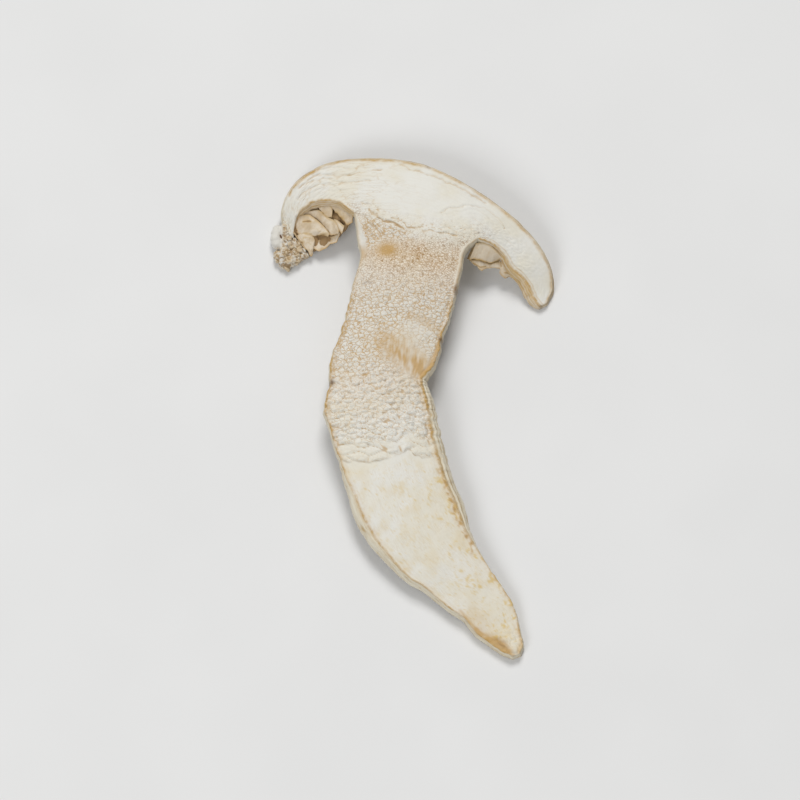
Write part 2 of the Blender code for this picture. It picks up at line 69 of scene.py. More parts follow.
# The cut face of the stem, cap to tip: left edge, right edge, flare of both sides.
stemRibs = (
    ((-13.0, 43.4), (14.6, 37.0), 0.1, 0.2),
    ((-12.0, 37.1), (11.7, 34.1), 0.3, 0.3),
    ((-11.4, 33.0), (10.8, 30.0), 0.3, 0.3),
    ((-13.0, 26.9), (10.0, 26.3), 0.3, 0.3),
    ((-14.2, 21.3), (8.6, 20.1), 0.3, 0.3),
    ((-16.2, 14.4), (6.6, 13.9), 0.3, 0.3),
    ((-18.2, 8.6), (4.8, 7.4), 0.3, 0.4),
    ((-18.4, 2.9), (2.1, 3.8), 0.3, 1.2),
    ((-19.6, -2.6), (3.2, -1.4), 0.3, 1.7),
    ((-18.2, -8.0), (4.1, -7.6), 0.3, 2.1),
    ((-16.4, -14.0), (5.7, -14.4), 0.3, 2.1),
    ((-14.4, -19.4), (7.6, -20.1), 0.8, 1.9),
    ((-12.0, -25.0), (9.7, -25.0), 1.8, 2.0),
    ((-9.7, -30.3), (11.7, -30.5), 1.9, 1.3),
    ((-6.4, -35.1), (14.0, -34.1), 1.5, 0.5),
    ((-1.7, -40.5), (16.4, -38.1), 1.0, 0.3),
    ((3.2, -44.0), (18.7, -41.5), 0.6, 0.3),
    ((7.7, -47.9), (20.9, -44.9), 0.4, 0.3),
    ((11.4, -50.6), (22.5, -47.9), 0.3, 0.3),
    ((14.0, -53.7), (23.4, -51.1), 0.3, 0.3),
    ((16.9, -56.0), (23.9, -53.8), 0.3, 0.3),
    ((20.0, -58.2), (24.5, -56.4), 0.3, 0.3),
    ((22.2, -59.2), (23.9, -58.6), 0.3, 0.3),
)

# The curl of the slice: x, y, height of its middle, thickness.
curl = (
    (-28.7, 40.0, 0.5, 1.8), (-26.5, 40.0, 0.5, 1.8), (-28.7, 42.6, 0.8, 2.0),
    (-29.4, 45.5, 2.4, 2.0), (-25.6, 44.8, 3.2, 2.0), (-27.4, 50.1, 4.2, 2.2),
    (-22.9, 54.1, 5.4, 2.2), (-21.6, 47.1, 5.0, 2.3), (-13.5, 56.3, 6.6, 2.4),
    (-15.1, 50.0, 7.2, 2.9), (-13.1, 43.2, 7.8, 2.8), (-2.8, 56.2, 7.4, 2.6),
    (-3.9, 48.7, 8.8, 3.2), (0.8, 39.4, 9.6, 3.1), (6.1, 53.2, 7.8, 2.8),
    (7.3, 45.0, 9.0, 3.2), (16.2, 47.4, 7.4, 2.8), (17.3, 41.0, 7.8, 3.0),
    (14.6, 36.8, 8.2, 2.9), (24.0, 41.9, 6.2, 2.6), (20.2, 33.8, 5.6, 2.4),
    (29.9, 34.9, 4.0, 2.2), (26.3, 31.6, 3.8, 2.4), (23.6, 28.8, 3.2, 2.0),
    (31.6, 28.3, 1.0, 2.1), (29.2, 24.0, 0.5, 2.0),
    (-12.0, 31.3, 8.4, 2.5), (-1.0, 30.8, 9.7, 2.9), (10.4, 30.4, 8.4, 2.5),
    (-14.2, 21.1, 7.9, 2.4), (-2.8, 19.1, 9.3, 2.8), (8.6, 20.1, 7.9, 2.4),
    (-18.2, 5.7, 7.0, 2.3), (-7.3, 4.6, 8.7, 2.7), (4.1, 6.2, 7.0, 2.3),
    (-18.9, -4.3, 6.4, 2.3), (-6.6, -5.7, 8.0, 2.7), (5.7, -4.9, 6.0, 2.3),
    (-16.2, -14.7, 5.4, 2.4), (-3.7, -15.2, 6.8, 2.7), (7.9, -14.5, 5.0, 2.3),
    (-13.5, -26.2, 4.4, 2.4), (-1.0, -26.7, 5.6, 2.7), (11.5, -25.6, 4.0, 2.3),
    (-6.6, -37.2, 3.3, 2.3), (4.4, -37.0, 4.1, 2.5), (15.3, -35.6, 2.9, 2.2),
    (3.9, -46.0, 2.0, 2.2), (12.9, -44.6, 2.6, 2.3), (20.0, -44.2, 1.8, 2.1),
    (12.9, -54.0, 1.0, 2.4), (18.7, -53.1, 1.0, 2.5), (23.6, -52.1, 1.0, 2.3),
    (19.6, -59.1, 0.8, 2.2), (23.1, -59.8, 0.8, 2.1), (24.9, -56.7, 0.8, 2.2),
)
curlSoftness = 2.0


# shared curves, noise and masks

def flowing(points, at):
    # points of a smooth curve through rows, at these row numbers
    rows = np.asarray(points, float)
    at = np.atleast_1d(np.asarray(at, float))
    last = len(rows) - 1
    k = np.clip(np.floor(at).astype(int), 0, last - 1)
    f = (at - k)[:, None]
    a, b = rows[np.maximum(k - 1, 0)], rows[k]
    c, d = rows[k + 1], rows[np.minimum(k + 2, last)]
    slopeB, slopeC = (c - a) / 2, (d - b) / 2
    return ((2 * f**3 - 3 * f**2 + 1) * b + (f**3 - 2 * f**2 + f) * slopeB
            + (3 * f**2 - 2 * f**3) * c + (f**3 - f**2) * slopeC)


def fittedSheet(places, values, softness):
    # a thin plate bent over scattered heights
    def bend(distance):
        return distance**2 * np.log(np.maximum(distance, 1e-9))

    places = np.asarray(places, float)
    values = np.asarray(values, float)
    count = len(places)
    plane = np.c_[np.ones(count), places]
    gaps = np.linalg.norm(places[:, None] - places[None], axis=2)
    system = np.zeros((count + 3, count + 3))
    system[:count, :count] = bend(gaps) + softness * np.eye(count)
    system[:count, count:] = plane
    system[count:, :count] = plane.T
    weights = np.linalg.solve(system, np.r_[values, np.zeros(3)])

    def height(x, y):
        total = weights[count] + weights[count + 1] * x + weights[count + 2] * y
        for place, weight in zip(places, weights[:count]):
            total = total + weight * bend(np.hypot(x - place[0], y - place[1]))
        return total
    return height


middleHeight = fittedSheet([row[:2] for row in curl], [row[2] for row in curl], curlSoftness)
sliceThickness = fittedSheet([row[:2] for row in curl], [row[3] for row in curl], curlSoftness)


def scatter(ix, iy, seed):
    # the same whole numbers always give the same value, from -1 to 1
    mixed = (ix * 374761393 + iy * 668265263 + seed * 974711) & 0xFFFFFFFF
    mixed = ((mixed ^ (mixed >> 13)) * 1274126177) & 0xFFFFFFFF
    return ((mixed ^ (mixed >> 16)) & 0xFFFF) / 32767.5 - 1.0


def waves(x, y, seed):
    # soft noise, one lump to a unit, about -1 to 1
    x, y = np.broadcast_arrays(x, y)
    ix, iy = np.floor(x).astype(np.int64), np.floor(y).astype(np.int64)
    fx, fy = x - ix, y - iy
    easeX = fx**3 * (fx * (fx * 6 - 15) + 10)
    easeY = fy**3 * (fy * (fy * 6 - 15) + 10)
    total = np.zeros(np.shape(x))
    for right in (0, 1):
        for up in (0, 1):
            turn = np.pi * scatter(ix + right, iy + up, seed)
            slope = np.cos(turn) * (fx - right) + np.sin(turn) * (fy - up)
            total += slope * (easeX if right else 1 - easeX) * (easeY if up else 1 - easeY)
    return total * 1.5


def folds(x, y, seed):
    # rounded lumps with narrow valleys between them, 0 in a valley to 1 on top
    return np.clip(np.abs(waves(x, y, seed)) * 2.2, 0, 1)**0.75


def cells(x, y, seed):
    # close grains: height from 0 in the joints to 1 on top, how far a place lies above the middle
    # of its grain, a number of its own for each grain, and a joint line, 1 on the joint under a grain as painted shadow
    # and fainter elsewhere
    x, y = np.broadcast_arrays(x, y)
    ix, iy = np.floor(x).astype(np.int64), np.floor(y).astype(np.int64)
    nearest = np.full(np.shape(x), 9.0)
    second = nearest.copy()
    above, own = np.zeros(np.shape(x)), np.zeros(np.shape(x))
    for dx in (-1, 0, 1):
        for dy in (-1, 0, 1):
            downY = y - iy - dy - 0.5 - 0.46 * scatter(ix + dx, iy + dy, seed + 7)
            away = np.hypot(x - ix - dx - 0.5 - 0.46 * scatter(ix + dx, iy + dy, seed), downY)
            second = np.minimum(second, np.maximum(nearest, away))
            above = np.where(away < nearest, downY, above)
            own = np.where(away < nearest, scatter(ix + dx, iy + dy, seed + 13), own)
            nearest = np.minimum(nearest, away)
    gap = second - nearest
    # painted shadow: the joint under a grain's lower edge is made darker than the one above it
    shadowUnderGrain = 0.3 + 0.7 * soft(above, -0.15, 0.3)      # the joint under a grain is the dark one
    return np.clip(gap * 2.0, 0, 1)**0.7, above, own, shadowUnderGrain * np.exp(-(gap / 0.12)**2)


def soft(value, low, high):
    share = np.clip((value - low) / (high - low), 0, 1)
    return share * share * (3 - 2 * share)


def between(value, low, high, edge):
    return soft(value, low - edge, low + edge) * (1 - soft(value, high - edge, high + edge))


def bell(value, centre, width):
    return np.exp(-((value - centre) / width)**2)


def patch(x, y, centre, size, turn=0.0):
    # a soft oval spot
    dx, dy = x - centre[0], y - centre[1]
    along = dx * math.cos(turn) + dy * math.sin(turn)
    across = dy * math.cos(turn) - dx * math.sin(turn)
    return np.exp(-(along / size[0])**2 - (across / size[1])**2)


def nearLine(x, y, points, width):
    # closeness to a drawn line, 1 on it
    best = np.full(np.shape(x), 99.0)
    for (ax, ay), (bx, by) in zip(points, points[1:]):
        length = (bx - ax)**2 + (by - ay)**2
        share = np.clip(((x - ax) * (bx - ax) + (y - ay) * (by - ay)) / length, 0, 1)
        best = np.minimum(best, np.hypot(x - ax - share * (bx - ax), y - ay - share * (by - ay)))
    return np.exp(-(best / width)**2)


def gridQuads(index):
    corners = (index[:-1, :-1], index[1:, :-1], index[1:, 1:], index[:-1, 1:])
    return np.stack([corner.ravel() for corner in corners], axis=1)


def ringQuads(upper, lower):
    return np.c_[upper, np.roll(upper, -1), np.roll(lower, -1), lower]


def addPiece(name, points, faces, masks, replaced):
    mesh = bpy.data.meshes.new(name)
    placed = np.asarray(points, float).copy()
    placed[:, 0] += outlineShift[0]
    placed[:, 1] += outlineShift[1]
    mesh.from_pydata((placed * mm).tolist(), [], [list(face) for face in faces])
    for maskName, values in masks.items():
        values = np.asarray(values, np.float32)
        kind = "FLOAT_VECTOR" if values.ndim == 2 else "FLOAT"
        field = "vector" if values.ndim == 2 else "value"
        mesh.attributes.new(maskName, kind, "POINT").data.foreach_set(field, values.ravel())
    mesh.validate()
    mesh.shade_smooth()
    piece = bpy.data.objects.new(name, mesh)
    bpy.context.scene.collection.objects.link(piece)
    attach(piece, "root")
    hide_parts(replaced)
    return piece


# the slab of flesh

flesh = {
    "capRows": 56,
    "capColumns": (96, 110, 124),
    "stemRows": (275, 131),         # close rows down to closeRowsEnd, wider ones below it
    "closeRowsEnd": 11.2,
    "edgeWobble": 0.16,             # mm, ragged outline
    "grainHeight": 0.08,            # finest grains that are modelled
    "grainSize": (0.75, 0.65),      # across and along the stem
    "knobHeight": 0.12,
    "knobSize": (1.15, 0.95),
    "crinkleHeight": 0.24,          # wrinkles along the border between cap and stem
    "crumpleHeight": 0.42,
    "crumpleSize": (2.1, 1.15),
    "puckerHeight": 0.16,           # small lumps on the crumpled part
    "puckerSize": (1.2, 0.8),
    "blobHeight": 0.34,
    "blobSize": (3.8, 2.2),
    "shingle": 0.6,                 # how much higher the lower edge of a lump stands
    "tearDrop": 0.30,
    "fibreHeight": 0.04,
    "furrowDepth": 0.34,
    "creaseDepth": 0.22,
    "upperRings": (0.05, 0.13, 0.22, 0.32, 0.43, 0.54),
    "lowerRings": (0.66, 0.78, 0.89, 0.96),
    "underHeight": 0.16,
    "highest": 11.2,                # mm, bumps above this height are flattened
}

crownFurrow = ((-2.8, 55.0), (0.3, 53.4), (2.8, 52.7), (7.3, 50.6), (10.6, 49.1), (12.9, 48.0), (16.3, 45.6))
capCreases = (                      # drawn wrinkles: points, depth, width
    (((6.2, 42.6), (9.5, 44.2), (12.9, 44.8), (16.0, 44.4), (18.0, 43.3), (19.6, 41.9), (20.7, 40.0)), 0.9, 0.2),
    (((9.8, 43.0), (13.4, 43.8), (16.2, 43.2), (18.0, 42.0)), 0.5, 0.18),
    (((12.4, 42.4), (14.4, 42.6), (16.4, 41.8), (17.6, 40.4)), 0.4, 0.18),
    (((-21.5, 54.3), (-18.0, 54.7), (-14.6, 54.3), (-10.5, 54.4), (-6.5, 54.9)), 0.6, 0.22),
    (((-23.5, 52.2), (-22.0, 53.0), (-19.3, 53.2), (-16.7, 52.5), (-13.8, 52.6), (-10.6, 53.4), (-7.0, 53.5)), 1.0, 0.24),
    (((-25.4, 50.4), (-22.7, 51.9), (-19.5, 52.2), (-17.0, 51.2), (-13.8, 50.7), (-9.5, 50.8)), 0.9, 0.24),
    (((-25.8, 48.4), (-24.0, 50.1), (-21.1, 50.9), (-18.4, 50.4), (-16.0, 49.0)), 0.6, 0.22),
    (((-25.0, 47.4), (-23.2, 49.1), (-20.5, 49.8), (-17.0, 49.0)), 0.35, 0.2),
    (((-11.5, 45.6), (-9.0, 44.6), (-7.5, 43.2)), 0.6, 0.2),
    (((-14.4, 47.4), (-11.5, 47.2), (-9.0, 46.0)), 0.35, 0.2),
    (((-9.8, 43.6), (-8.4, 42.2), (-6.6, 40.9), (-5.0, 40.6), (-3.2, 39.5), (-2.0, 38.6)), 1.7, 0.2),
    (((-4.8, 41.4), (-3.2, 41.2), (-2.2, 40.2), (-1.0, 39.1), (0.8, 38.9), (2.4, 39.4)), 1.6, 0.19),
    (((-7.6, 39.9), (-5.4, 39.2), (-3.8, 38.4)), 0.9, 0.18),
    (((-4.6, 42.6), (-2.2, 42.0), (0.6, 41.8), (2.4, 41.2)), 0.5, 0.2),
    (((2.0, 38.2), (3.9, 38.4), (5.6, 37.7), (7.2, 37.8), (9.5, 37.2)), 1.0, 0.19),
    (((-10.6, 42.2), (-9.7, 40.6), (-8.5, 39.6), (-7.6, 38.2), (-6.0, 37.2)), 1.2, 0.2),
    (((-11.0, 40.2), (-10.0, 38.6), (-8.9, 37.9), (-8.2, 36.4)), 1.0, 0.2),
)
innerSkinLine = ((-26.4, 51.6), (-27.3, 50.2), (-27.5, 49.0))     # where the skin turns in over the margin

borderLine = ((-14.0, 45.5), (-9.3, 43.4), (-5.7, 41.0), (-2.2, 40.0), (0.8, 39.0), (3.2, 38.7),
              (8.0, 38.3), (14.0, 38.6), (20.0, 37.5))
tearLine = ((-18.0, -14.2), (-14.4, -14.9), (-9.5, -15.4), (-6.1, -14.8), (-4.5, -14.5), (-2.9, -13.9),
            (-0.5, -12.6), (0.7, -13.7), (2.1, -14.5), (4.5, -13.9), (8.0, -13.6))


def lineHeight(line, x):
    return np.interp(x, [p[0] for p in line], [p[1] for p in line])


def capCutFace():
    left, over, right = flesh["capColumns"]
    rib = np.r_[np.linspace(0, leftCorner, left, endpoint=False),
                np.linspace(leftCorner, rightCorner, over, endpoint=False),
                np.linspace(rightCorner, len(capRibs) - 1, right + 1)]
    gillSide = flowing([row[0] for row in capRibs], rib)
    skinSide = flowing([row[1] for row in capRibs], rib)
    along = np.r_[0, np.cumsum(np.linalg.norm(np.diff((gillSide + skinSide) / 2, axis=0), axis=1))]
    outward = skinSide - gillSide
    outward /= np.linalg.norm(outward, axis=1)[:, None]
    wobble = flesh["edgeWobble"]
    skinSide = skinSide + outward * (0.6 * wobble * waves(along / 1.7, 0, 11))[:, None]
    free = 1 - between(rib, leftCorner - 0.3, rightCorner + 0.3, 0.3)
    gillSide = gillSide - outward * (free * wobble * waves(along / 1.3, 0, 12))[:, None]
    across = np.linspace(0, 1, flesh["capRows"] + 1)
    plan = gillSide[:, None] + (skinSide - gillSide)[:, None] * across[None, :, None]
    frayed = (1 - soft(along, 0, 1.6))[:, None] * np.ones(len(across))[None]
    plan[..., 1] += frayed * (0.5 * waves(plan[..., 0] / 0.7, 0.3, 13) - 0.25)
    length = np.linalg.norm(skinSide - gillSide, axis=1)
    return {
        "plan": plan,
        "rib": np.repeat(rib[:, None], len(across), 1),
        "across": np.repeat(across[None], len(rib), 0),
        "depth": (1 - across)[None] * length[:, None],
        "gillDistance": across[None] * length[:, None],
        "along": np.repeat(along[:, None], len(across), 1),
    }


def stemCutFace():
    closeRows, wideRows = flesh["stemRows"]
    rib = np.r_[np.linspace(0, flesh["closeRowsEnd"], closeRows, endpoint=False),
                np.linspace(flesh["closeRowsEnd"], len(stemRibs) - 1, wideRows + 1)]
    leftSide = flowing([row[0] for row in stemRibs], rib)
    rightSide = flowing([row[1] for row in stemRibs], rib)
    along = np.r_[0, np.cumsum(np.linalg.norm(np.diff((leftSide + rightSide) / 2, axis=0), axis=1))]
    outward = rightSide - leftSide
    outward /= np.linalg.norm(outward, axis=1)[:, None]
    start = soft(rib, 0.1, 1.0)
    rough = flesh["edgeWobble"] * start * (1 + 0.8 * between(rib, 2.5, 9.5, 1))
    leftSide = leftSide - outward * (rough * (waves(along / 1.5, 0, 21)
                                              + 1.2 * waves(along / 4.2, 0, 22)))[:, None]
    rightSide = rightSide + outward * (rough * (waves(along / 1.2, 0, 23)
                                                + 0.8 * waves(along / 3.5, 0, 24)))[:, None]
    across = np.linspace(0, 1, flesh["capColumns"][1] + 1)
    plan = leftSide[:, None] + (rightSide - leftSide)[:, None] * across[None, :, None]
    width = np.linalg.norm(rightSide - leftSide, axis=1)
    return {
        "plan": plan,
        "rib": np.repeat(rib[:, None], len(across), 1),
        "across": np.repeat(across[None], len(rib), 0),
        "fromLeft": across[None] * width[:, None],
        "fromRight": (1 - across)[None] * width[:, None],
        "along": np.repeat(along[:, None], len(across), 1),
        "side": (across[None] - 0.5) * width[:, None],
    }


def belowBorder(x, y):
    # mm below the ragged border between the smooth cap and the grained stem
    ragged = 1.2 * waves(x / 2.6, y / 2.6, 31) + 0.5 * waves(x / 0.8, y / 0.8, 30)
    return lineHeight(borderLine, x) - y + ragged


def crinkledZone(x, y):
    # the strip along the border where white flesh lies in small crumpled lumps
    strip = bell(lineHeight(borderLine, x) - y, -0.2, 2.2) * between(x, -12.0, 15.0, 1.5)
    return np.maximum(strip, 1.2 * patch(x, y, (-8.8, 39.0), (3.4, 3.4)))


def grainZone(x, y):
    # 1 where the flesh is grained
    return soft(belowBorder(x, y), -1.8, 3.2)


def smoothSpots(x, y):
    # places on the stem where the grain is rubbed flat
    spots = patch(x, y, (-1.0, 9.2), (5.2, 3.6), -0.5) + 0.8 * patch(x, y, (1.6, 6.2), (2.6, 2.2))
    return np.clip(1.15 * spots + 0.55 * patch(x, y, (0.8, 15.6), (4.2, 3.0), 0.2), 0, 1)


def bentPlaces(x, y):
    # drawn lines wander a little
    bentX = x + 0.35 * waves(x / 2.4, y / 2.4, 32) + 0.22 * waves(x / 0.9, y / 0.9, 33)
    bentY = y + 0.35 * waves(x / 2.4, y / 2.4, 34) + 0.22 * waves(x / 0.9, y / 0.9, 35)
    return bentX, bentY


def sharedLook(x, y):
    # swellings and wrinkles that run over the border between cap and stem
    bentX, bentY = bentPlaces(x, y)
    relief = 0.16 * waves(x / 7, y / 7, 41) + 0.06 * waves(x / 2.2, y / 2.2, 42) + 0.02 * waves(x / 0.6, y / 0.6, 43)
    hollow = np.zeros(np.shape(x))
    for points, amount, width in capCreases:
        line = nearLine(bentX, bentY, points, width)
        shoulder = nearLine(bentX, bentY - 0.45, points, 2.2 * width)
        relief += flesh["creaseDepth"] * amount * (0.55 * shoulder - line)
        # painted shade along each crease
        hollow += 0.5 * amount * line
    crinkled = crinkledZone(x, y)
    crinkle, _, _, crinkleJoint = cells(bentX / 1.6, bentY / 0.85, 39)
    relief += flesh["crinkleHeight"] * crinkled * (crinkle - 0.7)
    # crinkle joints darkened: partly their own colour, partly painted shadow under each lump
    hollow += 0.8 * crinkled * crinkleJoint
    return relief, hollow


def capLook(part):
    x, y = part["plan"][..., 0], part["plan"][..., 1]
    rib, depth, along = part["rib"], part["depth"], part["along"]
    bentX, bentY = bentPlaces(x, y)
    relief, hollow = sharedLook(x, y)
    furrow = nearLine(bentX, bentY, crownFurrow, 0.28)
    relief += 0.12 * nearLine(bentX, bentY - 0.6, crownFurrow, 0.6) - flesh["furrowDepth"] * furrow
    # the furrow is darkened as painted shade
    hollow += 0.6 * furrow
    outer = nearLine(bentX, bentY, innerSkinLine, 0.2)
    relief -= 0.2 * outer
    drift = 0.9 * waves(along / 5, depth / 5, 36)
    rolls, _, _, rollJoint = cells(along / 5 + 0.4 * drift, (depth + drift) / 1.5, 37)
    rollZone = between(rib, 2.4, 8.4, 1.0) * between(depth, 0.8, 8.5, 1.0)
    net, _, _, netJoint = cells((bentX + drift) / 1.3, (bentY - 0.5 * drift) / 0.8, 38)
    netZone = between(rib, 9.2, 14.8, 0.8) * between(part["gillDistance"], 0.0, 5.5, 1.8)
    crumbZone = (1 - soft(rib, 1.2, 2.2)) * (1 - soft(part["depth"], 1.3, 2.2))
    crumbs, _, _, crumbJoint = cells(bentX / 0.62, bentY / 0.8, 40)
    ridge = bell(part["gillDistance"], 0.35, 0.3) * (1 - soft(rib, 1.9, 2.5))
    strand = np.abs(waves(along / 6 + 0.3 * drift, (depth + 0.6 * drift) / 1.1, 48))
    relief += 0.14 * rollZone * (rolls - 0.7) + 0.15 * netZone * (net - 0.7)
    relief += 0.26 * crumbZone * (crumbs - 0.6) * (1 - ridge) + 0.3 * ridge
    relief += 0.05 * np.clip(strand * 3, 0, 1) * (1 - crumbZone)
    # darker in the joints of the rolls, net and crumbs: partly their own colour, partly painted shade under each lump
    hollow += 0.4 * rollZone * rollJoint + 0.42 * netZone * netJoint
    hollow += 1.1 * crumbZone * crumbJoint * (1 - ridge) + 0.1 * np.exp(-(strand / 0.05)**2)
    return relief, np.clip(hollow, 0, 1)


def grainLook(x, y, zone):
    # the pebbled flesh at the top of the stem, shared by the stem and the foot of the cap
    sizeX, sizeY = flesh["grainSize"]
    bentX = x + 0.45 * waves(x / 1.1, y / 1.1, 44)
    bentY = y + 0.45 * waves(x / 1.1, y / 1.1, 47)
    grain, above, own, jointAndShade = cells(bentX / sizeX, bentY / sizeY, 45)
    swell = 0.08 * waves(x / 3, y / 3, 46)
    height = grain * (1 + 0.35 * own - 0.4 * flesh["shingle"] * above) - 0.6
    return zone * (flesh["grainHeight"] * height + swell), 0.35 * zone * jointAndShade


def stemLook(part):
    x, y = part["plan"][..., 0], part["plan"][..., 1]
    rib, along, side = part["rib"], part["along"], part["side"]
    tear = lineHeight(tearLine, x + 0.5 * waves(x / 1.1, y / 1.1, 51)) - y      # over 0 below the tear
    tear = tear + 0.35 * waves(x / 1.6, 0.5, 50)
    upper = 1 - soft(tear, -0.15, 0.15)
    rubbed = smoothSpots(x, y)
    lipWidth = np.interp(rib, [0, 0.5, 1.1, 1.8, 2.3], [0.3, 1.1, 1.7, 1.1, 0.2]) + 0.12 * waves(along / 1.9, 0.4, 67)
    leftLip = between(part["fromLeft"], -1, lipWidth, 0.25) * between(rib, 0.1, 2.1, 0.3)
    rightLip = between(part["fromRight"], -1, 0.75, 0.2) * between(rib, 0.3, 3.1, 0.3)
    calm = np.clip(leftLip + rightLip, 0, 1)
    warp = 0.8 * waves(side / 2.6, along / 2.6, 52)
    grain, grainHollow = grainLook(x, y, grainZone(x, y) * (1 - soft(rib, 4.2, 6.0)) * (1 - calm))

    def lumps(size, seed):
        # bent hard, so that no two lumps are alike
        bendX = 0.35 * waves(side / (0.9 * size[0]), along / (1.1 * size[1]), seed + 2)
        bendY = 0.35 * waves(side / (0.9 * size[0]), along / (1.1 * size[1]), seed + 4)
        lump, above, own, jointAndShade = cells(side / size[0] + bendX, along / size[1] + bendY, seed)
        return lump * (1 + 0.35 * own + flesh["shingle"] * above) - 0.55, jointAndShade      # along runs down the stem

    foot = patch(x, y, (-9.4, 38.4), (2.8, 3.4)) + 0.6 * patch(x, y, (-4.5, 38.0), (4.5, 1.4), -0.25)
    knobZone = np.clip(between(rib, 3.2, 6.9, 1.3) + 1.8 * foot, 0, 1.6) * upper * (1 - calm)
    crumpleZone = soft(rib, 5.4, 7.2) * upper
    blobZone = between(tear, -3.9, -0.05, 0.4) * upper
    knob, knobJoint = lumps(flesh["knobSize"], 53)
    crumple, crumpleJoint = lumps(flesh["crumpleSize"], 63)
    blob, blobJoint = lumps(flesh["blobSize"], 73)
    pucker, puckerJoint = lumps(flesh["puckerSize"], 83)
    wrinkle = folds(side / 2.6 + 0.5 * warp, (along + 0.9 * warp) / 0.95, 93)
    crack = np.exp(-(np.abs(waves(side / 3.4 + 0.5 * warp, (along + 0.8 * warp) / 1.5, 95)) / 0.05)**2)
    rough = 1 - 0.92 * rubbed
    patchy = np.clip(0.8 + 0.5 * waves(x / 2.4, y / 2.0, 94), 0, 1)
    relief, sharedHollow = sharedLook(x, y)
    relief += grain + rough * knobZone * flesh["knobHeight"] * (knob + 0.6 * pucker)
    crumpled = rough * crumpleZone * (1 - 0.85 * blobZone)
    relief += crumpled * flesh["crumpleHeight"] * (crumple + 0.25 * (wrinkle - 0.6) - 0.2 * crack)
    relief += crumpled * flesh["puckerHeight"] * pucker
    relief += blobZone * flesh["blobHeight"] * (blob + 0.15 * (wrinkle - 0.6))
    # joints of grains, knobs, crumples and blobs are darkened: partly their own ochre lines, partly painted shadow
    # under each lump
    hollow = sharedHollow + grainHollow + rough * knobZone * patchy * (0.9 * knobJoint + 0.5 * puckerJoint)
    hollow += crumpled * patchy * (0.95 * crumpleJoint + 0.2 * puckerJoint)
    hollow += 0.2 * crumpled * crack + 1.1 * blobZone * patchy * blobJoint

    lowerZone = 1 - upper
    broken = 0.55 + 0.45 * waves(x / 3.1, 0.2, 60)
    fibres = 0.5 * waves(side / 0.6, along / 3.5, 61) + waves(side / 1.9, along / 9, 62)
    veins = np.abs(waves(side / 2.4 + 0.6 * warp, along / 3.4, 65))
    relief -= flesh["tearDrop"] * broken * lowerZone * np.exp(-np.maximum(tear, 0) / 5)
    relief += lowerZone * flesh["fibreHeight"] * fibres * (0.35 + 0.65 * np.exp(-np.maximum(tear, 0) / 9))
    relief += 0.07 * rubbed * waves(side / 0.45, along / 3.5, 64)
    hollow += 0.7 * broken * bell(tear, 0.05, 0.16) + 0.1 * lowerZone * np.exp(-(veins / 0.05)**2)

    crest = bell(part["fromLeft"], lipWidth, 0.4) * between(rib, 0.4, 2.1, 0.4)
    rollOff = soft(lipWidth - part["fromLeft"], 0, 1.4) * leftLip
    rightCrest = bell(part["fromRight"], 0.4, 0.4) * between(rib, 0.6, 3.2, 0.4)
    flap = nearLine(x, y, ((8.7, 34.0), (9.2, 32.5), (10.0, 30.9)), 0.2)
    relief += 0.18 * crest - 0.5 * rollOff + 0.25 * rightCrest - 0.18 * flap
    hollow += 0.3 * bell(part["fromLeft"], lipWidth + 0.5, 0.25) * between(rib, 0.5, 2.0, 0.4) + 0.5 * flap
    edgeDistance = np.minimum(part["fromLeft"], part["fromRight"])
    fringe = bell(edgeDistance, 0.25, 0.3) * soft(rib, 2.6, 4)
    fringeGroove = bell(edgeDistance, 0.95, 0.28) * between(rib, 3, 9.6, 0.8)
    relief += 0.16 * fringe - 0.12 * fringeGroove
    hollow += 0.35 * fringeGroove

    tipZone = soft(rib, 18.8, 20.6)
    tipFolds, _, _, tipJoint = cells(x / 1.9 + 0.5 * waves(x / 1.5, y / 1.5, 68), y / 1.4, 69)
    relief += 0.28 * tipZone * (tipFolds - 0.6) - 0.45 * patch(x, y, (19.7, -56.1), (1.7, 0.7), -0.5)
    relief += 0.35 * patch(x, y, (22.3, -57.6), (1.1, 0.8), -0.5)
    hollow += 0.6 * tipZone * tipJoint
    knobbed = np.clip(np.maximum(knobZone, 0.5 * crumpleZone) * (1 - 0.7 * blobZone), 0, 1) * rough
    return relief, np.clip(hollow, 0, 1), calm, knobbed


